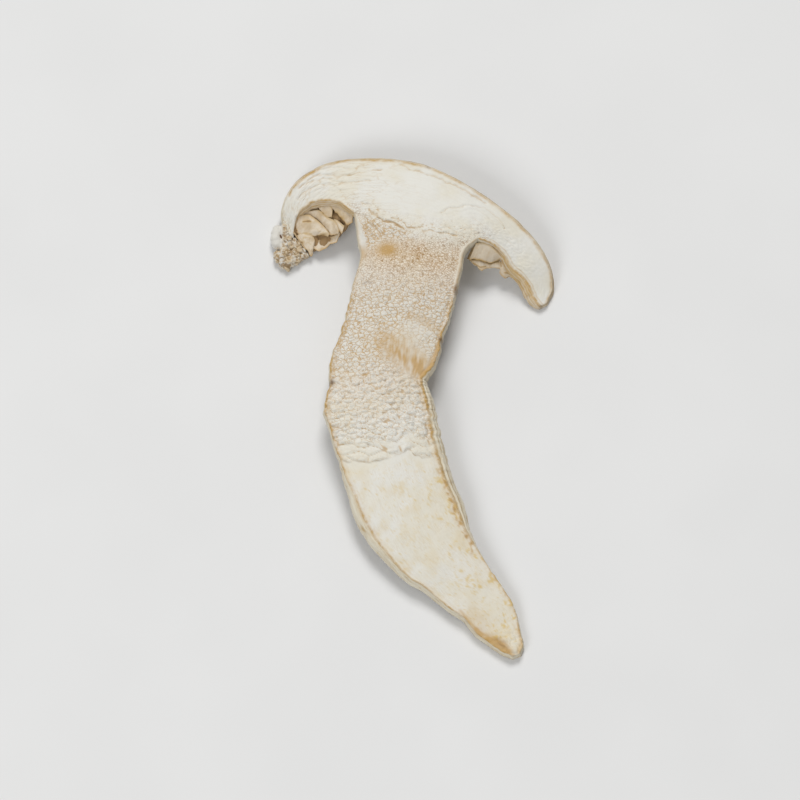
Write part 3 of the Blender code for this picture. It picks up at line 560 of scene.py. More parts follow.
def colourMasks(x, y, rib, skinDistance, gillDistance, side, along, isStem):
    # where the flesh is grained, finely wrinkled, pinkish brown, ochre, freckled, dark, or edged with skin
    edgeDistance = np.minimum(skinDistance, gillDistance)
    border = belowBorder(x, y)
    tear = lineHeight(tearLine, x) - y
    cloud = 0.5 + 0.5 * waves(x / 4, y / 4, 71)
    rubbed = smoothSpots(x, y)
    crinkled = np.clip(crinkledZone(x, y), 0, 1)
    grained = soft(border, -4.0, 3.0) * (1 - 0.9 * rubbed) * (1 - soft(tear, -3, 0.5)) * (1 - 0.7 * crinkled)
    onStem = (1 - 0.6 * soft(rib, 2.5, 5.5)) * (1 - soft(rib, 5.8, 7.6))
    grained = grained * np.where(isStem > 0, onStem, between(rib, 6.8, 11.6, 0.4))
    warm = soft(border, 0.3, 6.5) * (1 - 0.7 * soft(border, 7, 19)) * (1 - 0.95 * soft(tear, -16, -6))
    warm = warm * (1 - 0.75 * crinkled) * (1 - 0.35 * bell(edgeDistance, 0, 1.6)) * (1 - 0.5 * rubbed)
    warm = warm * (0.75 + 0.25 * cloud)
    warm = warm * np.where(isStem > 0, 1, between(rib, 6.8, 11.4, 0.3))
    stain = 1.2 * patch(x, y, (-5.7, 33.9), (2.1, 1.6)) + 0.25 * patch(x, y, (0.5, 32), (9, 2.2), -0.1)
    streaks = np.clip(0.5 + 0.6 * waves((x - 0.1 * y) / 0.45, y / 2.4, 72) + 0.7 * waves(x / 1.1, y / 1.8, 81), 0, 1)
    stain += 1.15 * patch(x, y, (-2.4, 9.3), (5.2, 3.4), -0.6) * (0.3 + 0.7 * streaks)
    stain += 0.4 * patch(x, y, (-6.2, 12.2), (3.0, 2.6), -0.4) * (0.4 + 0.6 * streaks)
    stain += 0.55 * patch(x, y, (1.4, 6.7), (1.5, 2.4), -0.3) * (0.5 + 0.5 * streaks)
    stain += 0.6 * patch(x, y, (1.8, 5.8), (2.2, 2.4)) * (0.4 + 0.6 * streaks)
    stain += 0.4 * patch(x, y, (3.0, 17.0), (4.5, 1.2), -0.45)
    stain += 0.8 * nearLine(x, y, ((6.3, 13.3), (5.4, 10.5), (4.0, 7.0), (2.0, 4.2)), 0.5)
    stain += 0.6 * patch(x, y, (-10.9, 33.6), (0.8, 1.6)) + 0.7 * patch(x, y, (-12.2, 34.0), (0.8, 1.0))
    stain += 1.1 * patch(x, y, (19.2, -56.2), (2.4, 1.1), -0.6)
    stain += 0.5 * nearLine(x, y, ((10.6, -48.9), (12.4, -51.2), (14.6, -53.6)), 0.4)
    mottled = 0.85 + 0.5 * waves(x / 1.3, y / 1.0, 57)
    stain += mottled * nearLine(x, y, ((14.4, -53.4), (16.4, -55.1), (18.9, -56.9), (21.6, -58.6)), 0.8)
    stain += 0.5 * nearLine(x, y, ((23.6, -52.5), (24.2, -55.8), (23.6, -58.2)), 0.45)
    stain += 0.25 * patch(x, y, (14.5, -51.0), (3.5, 2.0), -0.7)
    stain += 0.5 * nearLine(x, y, ((13.9, 36.2), (11.5, 33.2), (10.7, 30.0), (10.0, 26.6)), 0.35)
    lower = soft(tear, 0.2, 3)
    rightward = soft(x - np.interp(y, [-60, -35, -14], [16, 6, 0]), -3, 6)
    bentX, bentY = x + 0.5 * waves(x / 1.2, y / 1.2, 78), y + 0.5 * waves(x / 1.2, y / 1.2, 79)
    speckle = soft(0.6 * waves(bentX / 1.5, bentY / 1.7, 73) + 0.7 * waves(bentX / 0.7, bentY / 0.8, 80)
                   + 0.5 * waves(x / 4, y / 5, 74), 0.2, 0.9)
    freckle = lower * (speckle * (0.35 + 0.65 * rightward) + 0.22 * soft(waves(x / 3, y / 4, 77), -0.1, 0.6))
    freckle += 0.1 * lower * rightward + 0.6 * lower * soft(waves(bentX / 0.55, bentY / 0.6, 82), 0.45, 0.8)
    trail = nearLine(x, y, ((5.2, -14.0), (7.0, -19.0), (9.0, -25.5), (11.2, -31.5), (13.4, -35.5)), 0.8)
    stain += 0.9 * trail * soft(waves(bentX / 0.9, bentY / 1.2, 75), 0.0, 0.6)
    bruise = patch(x, y, (6.2, 13.3), (0.45, 0.5)) + 0.9 * patch(x, y, (-18.0, 3.2), (0.5, 0.7))
    bruise += 0.9 * patch(x, y, (9.6, 25.0), (0.35, 1.2), -0.2)
    stain += 0.8 * nearLine(x, y, ((-10.9, 4.6), (-10.2, 4.4), (-9.8, 5.0)), 0.24)
    stain += 0.5 * nearLine(x, y, ((-9.2, 2.2), (-8.4, 1.4), (-7.3, 1.2)), 0.22)
    bruise += 0.45 * nearLine(x, y, ((-11.1, 26.0), (-10.0, 26.5), (-9.1, 26.1)), 0.2)
    bruise += 0.8 * patch(x, y, (14.8, 38.3), (0.22, 0.25))
    bruise += 0.45 * patch(x, y, (20.0, -56.7), (1.2, 0.4), -0.6)
    for spot, size in (((0.4, 55.6), 0.5), ((3.6, 54.4), 0.6), ((8.3, 53.2), 0.6), ((-22.4, 55.0), 0.45),
                       ((29.0, 23.7), 0.5)):
        bruise += 0.85 * patch(x, y, spot, (size, 0.7 * size), -0.3)
    for spot, size in (((6.7, -17.2), 0.35), ((7.3, -19.8), 0.45), ((7.9, -22.4), 0.3), ((8.8, -24.2), 0.4),
                       ((9.4, -26.1), 0.5), ((10.6, -29.0), 0.35), ((12.0, -32.1), 0.5), ((13.2, -33.6), 0.35)):
        rust = patch(x, y, spot, (size, 0.8 * size), -0.9)
        stain, bruise = stain + 1.2 * rust, bruise + 0.25 * rust
    patchy = 0.45 + 0.55 * soft(waves(along / 3, 0, 76), -0.5, 0.4)
    onCap = 1 - isStem
    # strongest over the left half of the crown, thin and broken elsewhere
    crownShare = soft(rib, 3.2, 4.4) * (1.2 - 0.4 * soft(rib, 7.5, 9.5))
    edgeWidth = 0.42 + 0.14 * waves(along / 2.2, 0.5, 86)
    edge = onCap * crownShare * bell(skinDistance, 0, edgeWidth)
    edge += isStem * (0.5 + 0.8 * soft(rib, 3.0, 4.2) - 0.4 * soft(rib, 9, 10)) * bell(edgeDistance, 0, edgeWidth)
    rightWing = onCap * soft(rib, 11, 11.6)
    edge += onCap * soft(rib, 1.5, 3) * bell(gillDistance, 0, 0.32)
    edge = edge * patchy + 0.45 * rightWing * bell(gillDistance, 0.75 + 0.15 * waves(along / 2, 0.5, 87), 0.16)
    edge += 0.8 * onCap * nearLine(x, y, innerSkinLine, 0.3)
    edge += 0.2 * isStem * bell(edgeDistance, 0.9, 0.4) * patchy**2 * soft(rib, 3.5, 5)
    wrinkled = onCap * (0.15 + 0.85 * (1 - soft(rib, 7.0, 9.0))) + isStem * 0.4 * lower
    masks = {"grained": grained, "wrinkled": wrinkled, "warm": warm, "stain": stain, "freckle": freckle,
             "bruise": bruise, "edge": edge}
    return {name: np.clip(values, 0, 1) for name, values in masks.items()}


def easeInward(values, quads, fixed, rounds):
    edges = np.concatenate([quads[:, [a, b]] for a, b in ((0, 1), (1, 2), (2, 3), (3, 0))])
    edges = np.concatenate([edges, edges[:, ::-1]])
    count = np.bincount(edges[:, 0], minlength=len(values))
    kept = values[fixed].copy()
    for _ in range(rounds):
        for axis in (0, 1):
            values[:, axis] = np.bincount(edges[:, 0], values[edges[:, 1], axis], len(values)) / count
        values[fixed] = kept
    return values


def makeFlesh():
    cap, stem = capCutFace(), stemCutFace()
    first = flesh["capColumns"][0]
    last = first + flesh["capColumns"][1]
    capShape, stemShape = cap["rib"].shape, (stem["rib"].shape[0] - 1, stem["rib"].shape[1])
    capCount = capShape[0] * capShape[1]
    capIndex = np.arange(capCount).reshape(capShape)
    stemIndex = capCount + np.arange(stemShape[0] * stemShape[1]).reshape(stemShape)
    stemIndex = np.concatenate([capIndex[first:last + 1, 0][None], stemIndex])
    # the foot of the cap is curved, and the stem's first rows follow it
    sag = cap["plan"][first:last + 1, 0] - stem["plan"][0]
    stem["plan"] += sag[None] * np.exp(-(stem["along"] / 3.0)**2)[..., None]

    def joined(capField, stemField):
        return np.concatenate([capField.reshape(capCount, -1), stemField[1:].reshape(stemShape[0] * stemShape[1], -1)])

    plan = joined(cap["plan"], stem["plan"])
    x, y = plan[:, 0], plan[:, 1]
    rib = joined(cap["rib"], stem["rib"])[:, 0]
    isStem = np.r_[np.zeros(capCount), np.ones(len(x) - capCount)]
    along = joined(cap["along"], stem["along"])[:, 0]
    side = joined(cap["depth"], stem["side"])[:, 0]
    over = between(cap["rib"], leftCorner, rightCorner, 0.01)       # no free edge above the stem
    stemEdge = np.minimum(stem["fromLeft"], stem["fromRight"])
    skinDistance = joined(cap["depth"], stemEdge)[:, 0]
    gillDistance = joined(cap["gillDistance"] + 99 * over, stemEdge)[:, 0]

    capRelief, capHollow = capLook(cap)
    capX, capY = cap["plan"][..., 0], cap["plan"][..., 1]
    footGrain, footHollow = grainLook(capX, capY, grainZone(capX, capY) * between(cap["rib"], 6.8, 11.3, 0.3))
    stemRelief, stemHollow, stemCalm, stemKnobbed = stemLook(stem)
    capRelief, capHollow = capRelief + footGrain, capHollow + footHollow
    # the stem's first rows take up the height and tone of the cap above them
    handover = np.exp(-(stem["along"] / 1.4)**2)
    stemRelief = stemRelief + (capRelief[first:last + 1, 0] - stemRelief[0]) * handover
    stemHollow = stemHollow + (capHollow[first:last + 1, 0] - stemHollow[0]) * handover
    relief = joined(capRelief, stemRelief)[:, 0]
    thick = sliceThickness(x, y)
    top = middleHeight(x, y) + thick / 2 + relief
    top = np.minimum(top, 0.7 * flesh["highest"] + 0.3 * top)
    foot = np.maximum(middleHeight(x, y) - thick / 2, 0.0)
    onFace = colourMasks(x, y, rib, skinDistance, gillDistance, side, along, isStem)
    onFace["hollow"] = np.clip(joined(capHollow, stemHollow)[:, 0], 0, 1)
    onFace["knobbed"] = joined(np.zeros(capShape), stemKnobbed)[:, 0]
    calm = joined(np.zeros(capShape), stemCalm)[:, 0]
    onFace["grained"] *= 1 - calm
    onFace["warm"] *= 1 - 0.8 * calm

    loop = np.r_[capIndex[0, :-1], capIndex[:-1, -1], capIndex[-1, :0:-1],
                 capIndex[:last:-1, 0], stemIndex[:-1, -1], stemIndex[-1, :0:-1],
                 stemIndex[:0:-1, 0], capIndex[first:0:-1, 0]]
    ribNumbers = np.arange(len(capRibs))
    capRib, stemRib = cap["rib"][:, 0], stem["rib"][:, 0]
    gillFlare = np.interp(capRib, ribNumbers, [row[2] for row in capRibs])
    skinFlare = np.interp(capRib, ribNumbers, [row[3] for row in capRibs])
    ribNumbers = np.arange(len(stemRibs))
    leftFlare = np.interp(stemRib, ribNumbers, [row[2] for row in stemRibs])
    rightFlare = np.interp(stemRib, ribNumbers, [row[3] for row in stemRibs])
    capAcross, stemAcross = capShape[1] - 1, stemShape[1] - 1
    flare = np.r_[np.full(capAcross, skinFlare[0]), skinFlare[:-1], np.full(capAcross, skinFlare[-1]),
                  gillFlare[:last:-1], rightFlare[:-1], np.full(stemAcross, rightFlare[-1]),
                  leftFlare[:0:-1], gillFlare[first:0:-1]]
    isSkin = np.r_[np.zeros(capAcross), soft(capRib[:-1], 2.8, 4.2), np.ones(capAcross),
                   np.zeros(len(loop) - 2 * capAcross - capShape[0] + 1)]
    isGill = np.r_[np.zeros(2 * capAcross + capShape[0] - 1), soft(capRib[:last:-1], 10.9, 11.6),
                   np.zeros(2 * (stemShape[0]) + stemAcross), np.ones(first)]
    isStrip = np.r_[np.zeros(2 * capAcross + capShape[0] - 1 + capShape[0] - 1 - last),
                    between(stemRib[:-1], 6.9, 12.8, 0.4), np.zeros(stemAcross + stemShape[0] + first)]
    step = np.linalg.norm(np.roll(plan[loop], -1, axis=0) - plan[loop], axis=1)
    loopAlong = np.r_[0, np.cumsum(step)[:-1]]
    forward = np.roll(plan[loop], -3, axis=0) - np.roll(plan[loop], 3, axis=0)
    away = np.c_[-forward[:, 1], forward[:, 0]]
    away /= np.linalg.norm(away, axis=1)[:, None]

    quads = np.concatenate([gridQuads(capIndex), gridQuads(stemIndex)])
    lowQuads = np.concatenate([gridQuads(capIndex[::2, ::2]), gridQuads(stemIndex[::2, ::2])])
    picked = np.unique(lowQuads)
    lowNumber = np.full(len(plan), -1)
    lowNumber[picked] = np.arange(len(picked))
    lowQuads = lowNumber[lowQuads]
    lowLoop = lowNumber[loop[::2]]
    lowPlan = plan[picked].copy()
    shift = np.zeros_like(lowPlan)
    shift[lowLoop] = away[::2] * flare[::2, None] * 0.85
    lowPlan += easeInward(shift, lowQuads, lowLoop, 40)

    # underside: the other cut face, grained in the same way
    lowX, lowY = lowPlan[:, 0], lowPlan[:, 1]
    underGrain = 0.5 * folds(lowX / 1.6, lowY / 1.3, 81) + 0.5 * folds(lowX / 3.2, lowY / 2.2, 82)
    lowFoot = middleHeight(lowX, lowY) - sliceThickness(lowX, lowY) / 2
    fade = soft(lowFoot, 0.1, 1.2)
    lowFoot = np.maximum(lowFoot + flesh["underHeight"] * fade * (0.6 - underGrain), 0.0)

    points = [np.c_[plan, top]]
    rings = [loop]
    start = len(plan)
    masks = {name: [values] for name, values in onFace.items()}
    masks.update({name: [np.zeros(len(plan))] for name in ("skin", "capSkin", "gillWall")})
    masks["grainAt"] = [np.c_[side, along, np.zeros(len(plan))]]

    def addRing(share, step):
        nonlocal start
        pick = loop[::step]
        flareHere, awayHere, alongHere = flare[::step], away[::step], loopAlong[::step]
        topHere, footHere = top[pick], np.minimum(foot[pick], top[pick] - 0.3)
        out = 1 - (1 - min(1.0, share / 0.85))**1.35
        out = out - 0.12 * max(0.0, (share - 0.85) / 0.15)
        height = topHere - footHere
        down = share * (height + flareHere)
        strand = waves(alongHere / 5, down / 0.33, 91) + 0.6 * waves(alongHere / 1.2, down / 0.8, 92)
        ridge = np.cos(2 * np.pi * 3.6 * share + 0.8 * waves(alongHere / 6, 0, 93))
        soften = soft(share, 0, 0.12) * (1 - soft(share, 0.85, 1.0))
        push = soften * (0.07 * strand + 0.05 * waves(alongHere / 2.5, down / 1.5, 94))
        push = push + soften * 0.10 * isStrip[::step] * ridge
        level = footHere + height * (1 - share**(1.15 + 0.5 * soft(flareHere, 0.3, 1.4)))
        level = level + soften * (0.05 * strand + 0.16 * isStrip[::step] * ridge)
        level = np.maximum(level, 0.0)
        places = plan[pick] + awayHere * (flareHere * out + push)[:, None]
        points.append(np.c_[places, level])
        rings.append(start + np.arange(len(pick)))
        start += len(pick)
        skinShare = np.full(len(pick), soft(share, 0.0, 0.12))
        here = {maskName: values[pick] for maskName, values in onFace.items()}
        here["hollow"] = np.clip(0.4 - 0.5 * strand - 0.45 * isStrip[::step] * ridge, 0, 1) * skinShare
        here["warm"] = here["warm"] * (1 - skinShare)
        here["grained"] = here["grained"] * (1 - skinShare)
        here["knobbed"] = here["knobbed"] * (1 - skinShare)
        here["edge"] = here["edge"] * (1 - soft(share, 0.02, 0.2))
        here["skin"] = skinShare
        here["capSkin"] = soft(share, 0.08, 0.35) * isSkin[::step]
        here["gillWall"] = skinShare * isGill[::step]
        here["grainAt"] = np.c_[down, alongHere, np.ones(len(pick))]
        for maskName, values in here.items():
            masks[maskName].append(values)

    for share in flesh["upperRings"]:
        addRing(share, 1)
    for share in flesh["lowerRings"]:
        addRing(share, 2)
    points.append(np.c_[lowPlan, lowFoot])
    rings.append(start + lowLoop)
    # how much of each mask the underside shows
    shown = {"warm": 0.8, "stain": 0.3, "freckle": 0.5, "edge": 0.8, "grained": 0.6, "knobbed": 0.6}
    for maskName in masks:
        if maskName == "hollow":
            # the underside is darker in the valleys of its folds: partly their own colour, partly painted shade
            masks[maskName].append(0.7 * (1 - underGrain))
        elif maskName == "grainAt":
            masks[maskName].append(np.c_[side[picked], along[picked], np.full(len(picked), 2.0)])
        else:
            masks[maskName].append(shown.get(maskName, 0) * masks[maskName][0][picked])

    faces = quads.tolist() + (lowQuads[:, ::-1] + start).tolist()
    for upper, lower in zip(rings, rings[1:]):
        if len(upper) == len(lower):
            faces += ringQuads(upper, lower).tolist()
        else:
            mid, ahead, lowAhead = upper[1::2], np.roll(upper, -2)[::2], np.roll(lower, -1)
            faces += np.c_[upper[::2], mid, lower].tolist()
            faces += np.c_[mid, ahead, lowAhead].tolist()
            faces += np.c_[mid, lowAhead, lower].tolist()
    masks = {name: np.concatenate(values) for name, values in masks.items()}
    return addPiece("dried_flesh", np.concatenate(points), faces, masks, "cap_and_stem")


# thin dried plates and sheets

def thinShell(grid, thickness):
    # a closed sheet round a grid of points, thin side out
    alongA, alongB = np.gradient(grid, axis=0), np.gradient(grid, axis=1)
    normal = np.cross(alongA, alongB)
    normal /= np.maximum(np.linalg.norm(normal, axis=2), 1e-9)[..., None]
    count = grid.shape[0] * grid.shape[1]
    index = np.arange(count).reshape(grid.shape[:2])
    half = np.asarray(thickness)[..., None] / 2 * np.ones(grid.shape[:2])[..., None]
    points = np.concatenate([(grid + normal * half).reshape(-1, 3), (grid - normal * half).reshape(-1, 3)])
    quads = gridQuads(index)
    loop = np.r_[index[0, :-1], index[:-1, -1], index[-1, :0:-1], index[:0:-1, 0]]
    faces = np.concatenate([quads, quads[:, ::-1] + count, ringQuads(loop, loop + count)])
    return points, faces


class Gathered:
    # several closed meshes on their way into one piece
    def __init__(self):
        self.points, self.faces, self.masks, self.count = [], [], {}, 0

    def add(self, points, faces, masks):
        self.points.append(points)
        self.faces += [[corner + self.count for corner in face] for face in np.asarray(faces).tolist()]
        for name, values in masks.items():
            self.masks.setdefault(name, []).append(values)
        self.count += len(points)

    def finish(self, name, slotName, replaced):
        masks = {key: np.concatenate(values) for key, values in self.masks.items()}
        return addPiece(name, np.concatenate(self.points), self.faces, masks, replaced)


def makeSheet(top, bottom, size, thickness, bulge, crinkle, seed):
    # a dried lamina between two drawn edges, x, y and height in mm
    steps, widths = size
    u = np.linspace(0, 1, steps + 1)
    v = np.linspace(0, 1, widths + 1)[None]
    start = flowing(top, u * (len(top) - 1))
    end = flowing(bottom, u * (len(bottom) - 1))
    grid = start[:, None] + (end - start)[:, None] * v[..., None]
    u = u[:, None]
    long = max(np.linalg.norm(np.diff(start, axis=0), axis=1).sum(), np.linalg.norm(np.diff(end, axis=0), axis=1).sum())
    deep = np.linalg.norm(end - start, axis=1).max()
    grid[..., 2] += bulge * np.sin(np.pi * v**0.8) * np.sin(np.pi * np.clip(0.08 + 0.84 * u, 0, 1))
    free = soft(v, 0, 0.25)
    grid[..., 2] += 1.3 * crinkle * free * waves(u * long / 1.6 + seed, v * deep / 2.2, seed)
    grid[..., 2] += 0.6 * crinkle * free * waves(u * long / 0.55 + seed, v * deep / 1.8, seed + 1)
    ragged = soft(v, 0.6, 1.0)
    grid[..., 1] += 0.22 * ragged * waves(u * long / 1.1, 0.3, seed + 2)
    grid[..., 0] += 0.15 * ragged * waves(u * long / 0.9, 0.7, seed + 3)
    grid[..., 2] = np.maximum(grid[..., 2], 0.15 + thickness / 2)
    thin = thickness * (1 - 0.55 * soft(v, 0.7, 1.0)) + 0 * u
    points, faces = thinShell(grid, thin)
    # free rims turn ochre: partly their own colour, partly painted shade where a sheet ends over the next; the root
    # along the attached edge and the start is darkened as painted shadow
    rim = np.maximum(bell(v, 1.0, 0.35 / deep) + 0 * u, 0.6 * bell(u, 1.0, 0.25 / long) + 0 * v)
    root = np.maximum(1 - soft(v, 0, 0.9 / deep) + 0 * u, 0.7 * (1 - soft(u, 0, 0.5 / long)) + 0 * v)
    ribs = np.c_[(u * long + 7.3 * seed + 0 * v).ravel(), (v * deep + 0 * u).ravel(), np.full(u.size * v.size, seed)]
    return points, faces, {"hollow": np.tile((0.75 * root).ravel(), 2), "edge": np.tile(rim.ravel(), 2),
                           "grainAt": np.tile(ribs, (2, 1))}


leftGills = {
    "sheetThickness": 0.24,
    "bedThickness": 0.9,
    # packed gills under the open ones
    "bed": (((-26.6, 41.8, 1.1), (-26.0, 44.3, 1.2), (-24.0, 45.7, 2.0), (-21.0, 46.6, 3.2), (-18.2, 46.4, 4.4),
             (-15.6, 45.4, 5.4), (-13.5, 43.6, 6.0)),
            ((-25.6, 40.3, 1.0), (-24.3, 38.2, 1.0), (-22.7, 37.0, 1.2), (-20.9, 37.4, 1.7), (-18.6, 38.2, 2.5),
             (-16.5, 39.5, 3.7), (-14.2, 41.8, 5.8))),
    # top edge, bottom edge, bulge, crinkle
    "sheets": (
        (((-26.5, 45.0, 2.3), (-24.9, 45.0, 3.0), (-23.3, 45.0, 3.5), (-22.2, 44.2, 3.7), (-20.9, 43.0, 4.0),
          (-19.8, 41.7, 4.3), (-19.0, 40.6, 4.5), (-18.6, 39.9, 4.5)),
         ((-26.3, 44.2, 2.0), (-26.1, 42.8, 1.9), (-25.8, 41.3, 1.9), (-24.8, 40.5, 2.1), (-23.5, 40.3, 2.6),
          (-22.3, 40.1, 3.0), (-21.2, 40.2, 3.3), (-20.1, 40.0, 3.7), (-18.8, 39.6, 4.2)), 0.35, 0.16),
        (((-24.5, 45.5, 3.0), (-22.7, 45.8, 3.7), (-21.1, 45.8, 4.3), (-20.1, 44.8, 4.7), (-19.3, 43.9, 4.9),
          (-18.2, 43.3, 5.3), (-17.2, 42.6, 5.5), (-16.8, 41.6, 5.5), (-16.4, 40.2, 5.2)),
         ((-24.4, 45.2, 2.7), (-23.1, 44.8, 3.1), (-21.9, 44.0, 3.3), (-20.6, 42.8, 3.7), (-19.6, 41.5, 4.0),
          (-19.0, 40.6, 4.1), (-18.3, 39.9, 4.3), (-17.4, 39.8, 4.6), (-16.6, 39.8, 4.9)), 0.15, 0.12),
        (((-21.1, 46.4, 4.6), (-19.7, 46.6, 5.2), (-18.4, 46.4, 5.8), (-17.9, 45.2, 5.8)),
         ((-20.6, 45.6, 4.5), (-19.9, 44.6, 4.8), (-19.1, 43.8, 5.1), (-18.1, 43.4, 5.4)), 0.1, 0.08),
        (((-17.6, 43.3, 5.2), (-16.8, 42.9, 5.4), (-16.1, 42.2, 5.7), (-15.2, 41.4, 5.9)),
         ((-16.7, 41.6, 5.2), (-16.5, 40.8, 5.2), (-16.2, 40.2, 5.2), (-15.8, 39.7, 5.2)), 0.08, 0.08),
        (((-18.4, 46.3, 6.0), (-16.7, 46.0, 6.6), (-15.1, 45.2, 7.2), (-14.0, 44.2, 7.5), (-13.3, 43.4, 7.6)),
         ((-17.7, 45.3, 5.7), (-16.9, 44.2, 6.0), (-15.7, 42.8, 6.4), (-14.7, 41.4, 6.6), (-13.5, 41.7, 7.0)), 0.1, 0.12),
        (((-24.0, 39.6, 1.9), (-22.4, 39.6, 2.1), (-20.8, 39.3, 2.5), (-18.9, 39.6, 3.2), (-17.3, 39.9, 4.1),
          (-16.4, 40.5, 4.7)),
         ((-22.8, 38.2, 2.0), (-22.2, 37.4, 2.1), (-21.2, 36.8, 2.2), (-19.9, 37.1, 2.6), (-18.8, 37.7, 3.0),
          (-17.9, 38.2, 3.4), (-17.2, 38.1, 3.6), (-16.6, 39.0, 4.0), (-16.2, 40.2, 4.6)), -0.5, 0.16),
        (((-25.9, 40.5, 1.9), (-24.9, 41.0, 2.2), (-23.7, 40.7, 2.6), (-22.5, 40.3, 2.8), (-21.9, 39.2, 2.6)),
         ((-25.4, 39.5, 1.8), (-24.6, 38.4, 1.8), (-23.8, 37.3, 1.8), (-22.6, 35.6, 1.7), (-22.2, 37.3, 2.1)), 0.2, 0.15),
        (((-26.7, 41.4, 2.1), (-25.8, 40.0, 2.2), (-24.9, 38.6, 2.1), (-24.0, 37.3, 1.9)),
         ((-26.3, 40.9, 1.3), (-25.6, 39.7, 1.3), (-24.8, 38.5, 1.3), (-23.8, 37.2, 1.3)), 0.0, 0.08),
    ),
}
# dips in the plates that are painted darker: painted shade
gillDips = ((-20.3, 39.8, 1.5, 0.55), (-17.1, 44.0, 1.0, 0.9), (-16.1, 42.9, 0.9, 0.8), (-24.9, 38.8, 0.7, 0.5))
gillMarks = (                       # drawn brown lines on the plates: points, strength, width
    (((-24.4, 43.5), (-23.6, 43.4), (-22.8, 43.2)), 1.0, 0.26),
    (((-24.5, 40.9), (-23.6, 40.8), (-22.7, 40.5)), 0.6, 0.2),
    (((-25.3, 42.0), (-24.2, 42.3), (-23.0, 42.1)), 0.3, 0.2),
    (((-22.6, 41.6), (-21.4, 41.2), (-20.6, 40.6)), 0.35, 0.2),
    (((-24.8, 39.6), (-23.9, 39.9), (-22.9, 39.6)), 0.5, 0.18),
    (((-24.2, 38.4), (-23.4, 38.6), (-22.7, 38.2)), 0.4, 0.18),
    (((-21.6, 45.4), (-20.3, 45.3), (-19.2, 44.7)), 0.3, 0.18),
    (((-17.0, 45.2), (-15.9, 44.5), (-14.9, 43.6)), 0.35, 0.18),
)


def makeLeftGills():
    clump = Gathered()
    top, bottom = leftGills["bed"]
    points, faces, masks = makeSheet(top, bottom, (90, 40), leftGills["bedThickness"], 0.3, 0.3, 101)
    # the whole bed is painted dark: painted shade under the open gills
    masks["hollow"] = np.full(len(points), 1.0)
    masks["edge"] = masks["edge"] * 0
    clump.add(points, faces, masks)
    for seed, (top, bottom, bulge, crinkle) in enumerate(leftGills["sheets"]):
        points, faces, masks = makeSheet(top, bottom, (72, 34), leftGills["sheetThickness"], bulge, crinkle, 110 + seed)
        x, y = points[:, 0], points[:, 1]
        for dipX, dipY, wide, tall in gillDips:
            masks["hollow"] = np.maximum(masks["hollow"], patch(x, y, (dipX, dipY), (wide, tall), 0.1))
        bentX, bentY = x + 0.2 * waves(x / 0.8, y / 0.8, 120), y + 0.2 * waves(x / 0.8, y / 0.8, 121)
        for mark, strength, width in gillMarks:
            masks["hollow"] = np.maximum(masks["hollow"], strength * nearLine(bentX, bentY, mark, width))
        clump.add(points, faces, masks)
    return clump.finish("gill_plates_left", "gills", "gills_left")


rightGills = {
    "sheetThickness": 0.2,
    "sheets": (
        # flat panel, folded lamina under it, and the lamina along the wing
        (((14.2, 36.3, 8.4), (15.6, 36.6, 8.3), (16.9, 36.3, 8.1), (18.0, 35.6, 7.6), (19.0, 34.8, 7.0), (20.4, 33.5, 5.9)),
         ((12.7, 32.9, 6.8), (13.9, 33.1, 6.6), (15.2, 33.1, 6.2), (17.3, 32.6, 5.3), (18.4, 33.0, 5.1), (19.7, 33.6, 5.0)),
         0.15, 0.07),
        (((12.7, 33.0, 6.6), (13.9, 33.2, 6.3), (15.2, 33.2, 5.9), (17.3, 32.7, 5.0), (18.4, 33.1, 4.8), (20.0, 33.2, 4.6)),
         ((13.2, 32.7, 6.2), (14.4, 31.8, 5.4), (15.3, 31.1, 4.9), (16.2, 31.5, 4.7), (17.3, 31.9, 4.5), (19.2, 31.9, 4.0),
          (20.3, 31.4, 3.7)), -0.1, 0.12),
        (((19.3, 33.6, 5.0), (20.6, 32.6, 4.6), (21.8, 31.5, 3.9), (23.0, 30.6, 3.2), (24.2, 29.9, 2.7)),
         ((20.0, 31.9, 3.8), (19.5, 31.0, 3.5), (20.6, 30.0, 3.0), (21.8, 30.3, 2.8), (22.8, 30.0, 2.6), (23.9, 29.5, 2.5)),
         0.15, 0.12),
        (((13.5, 36.2, 6.9), (16.9, 35.8, 6.0), (18.9, 34.2, 4.9), (20.9, 32.4, 4.0), (23.6, 30.1, 2.4)),
         ((12.2, 33.6, 5.9), (15.2, 32.3, 4.8), (17.4, 32.3, 4.2), (19.6, 32.0, 3.4), (22.6, 30.4, 2.3)), 0.0, 0.1),
    ),
    "folds": (((12.7, 32.9), (14.9, 33.1), (17.3, 32.5), (19.5, 33.5)), ((13.6, 32.5), (15.2, 31.7), (16.4, 32.0)),
              ((19.6, 33.5), (19.9, 32.2)), ((20.6, 30.9), (21.9, 30.9))),
}


def makeRightGills():
    pair = Gathered()
    for seed, (top, bottom, bulge, crinkle) in enumerate(rightGills["sheets"]):
        points, faces, masks = makeSheet(top, bottom, (84, 36), rightGills["sheetThickness"], bulge, crinkle, 130 + seed)
        # darker along the folds: partly their ochre colour, partly painted shade
        for fold in rightGills["folds"]:
            line = nearLine(points[:, 0], points[:, 1], fold, 0.2)
            masks["hollow"] = np.maximum(masks["hollow"], 0.9 * line)
        # the lamina behind the others is painted dark: painted shade in the gap behind the panel
        if seed == 3:                   # the lamina behind the others is darker
            masks["hollow"] = np.maximum(masks["hollow"], 0.8)
        masks["pale"] = np.full(len(points), 1.0 if seed == 0 else 0.6)
        pair.add(points, faces, masks)
    return pair.finish("gill_sheet_right", "gills", "gills_right")


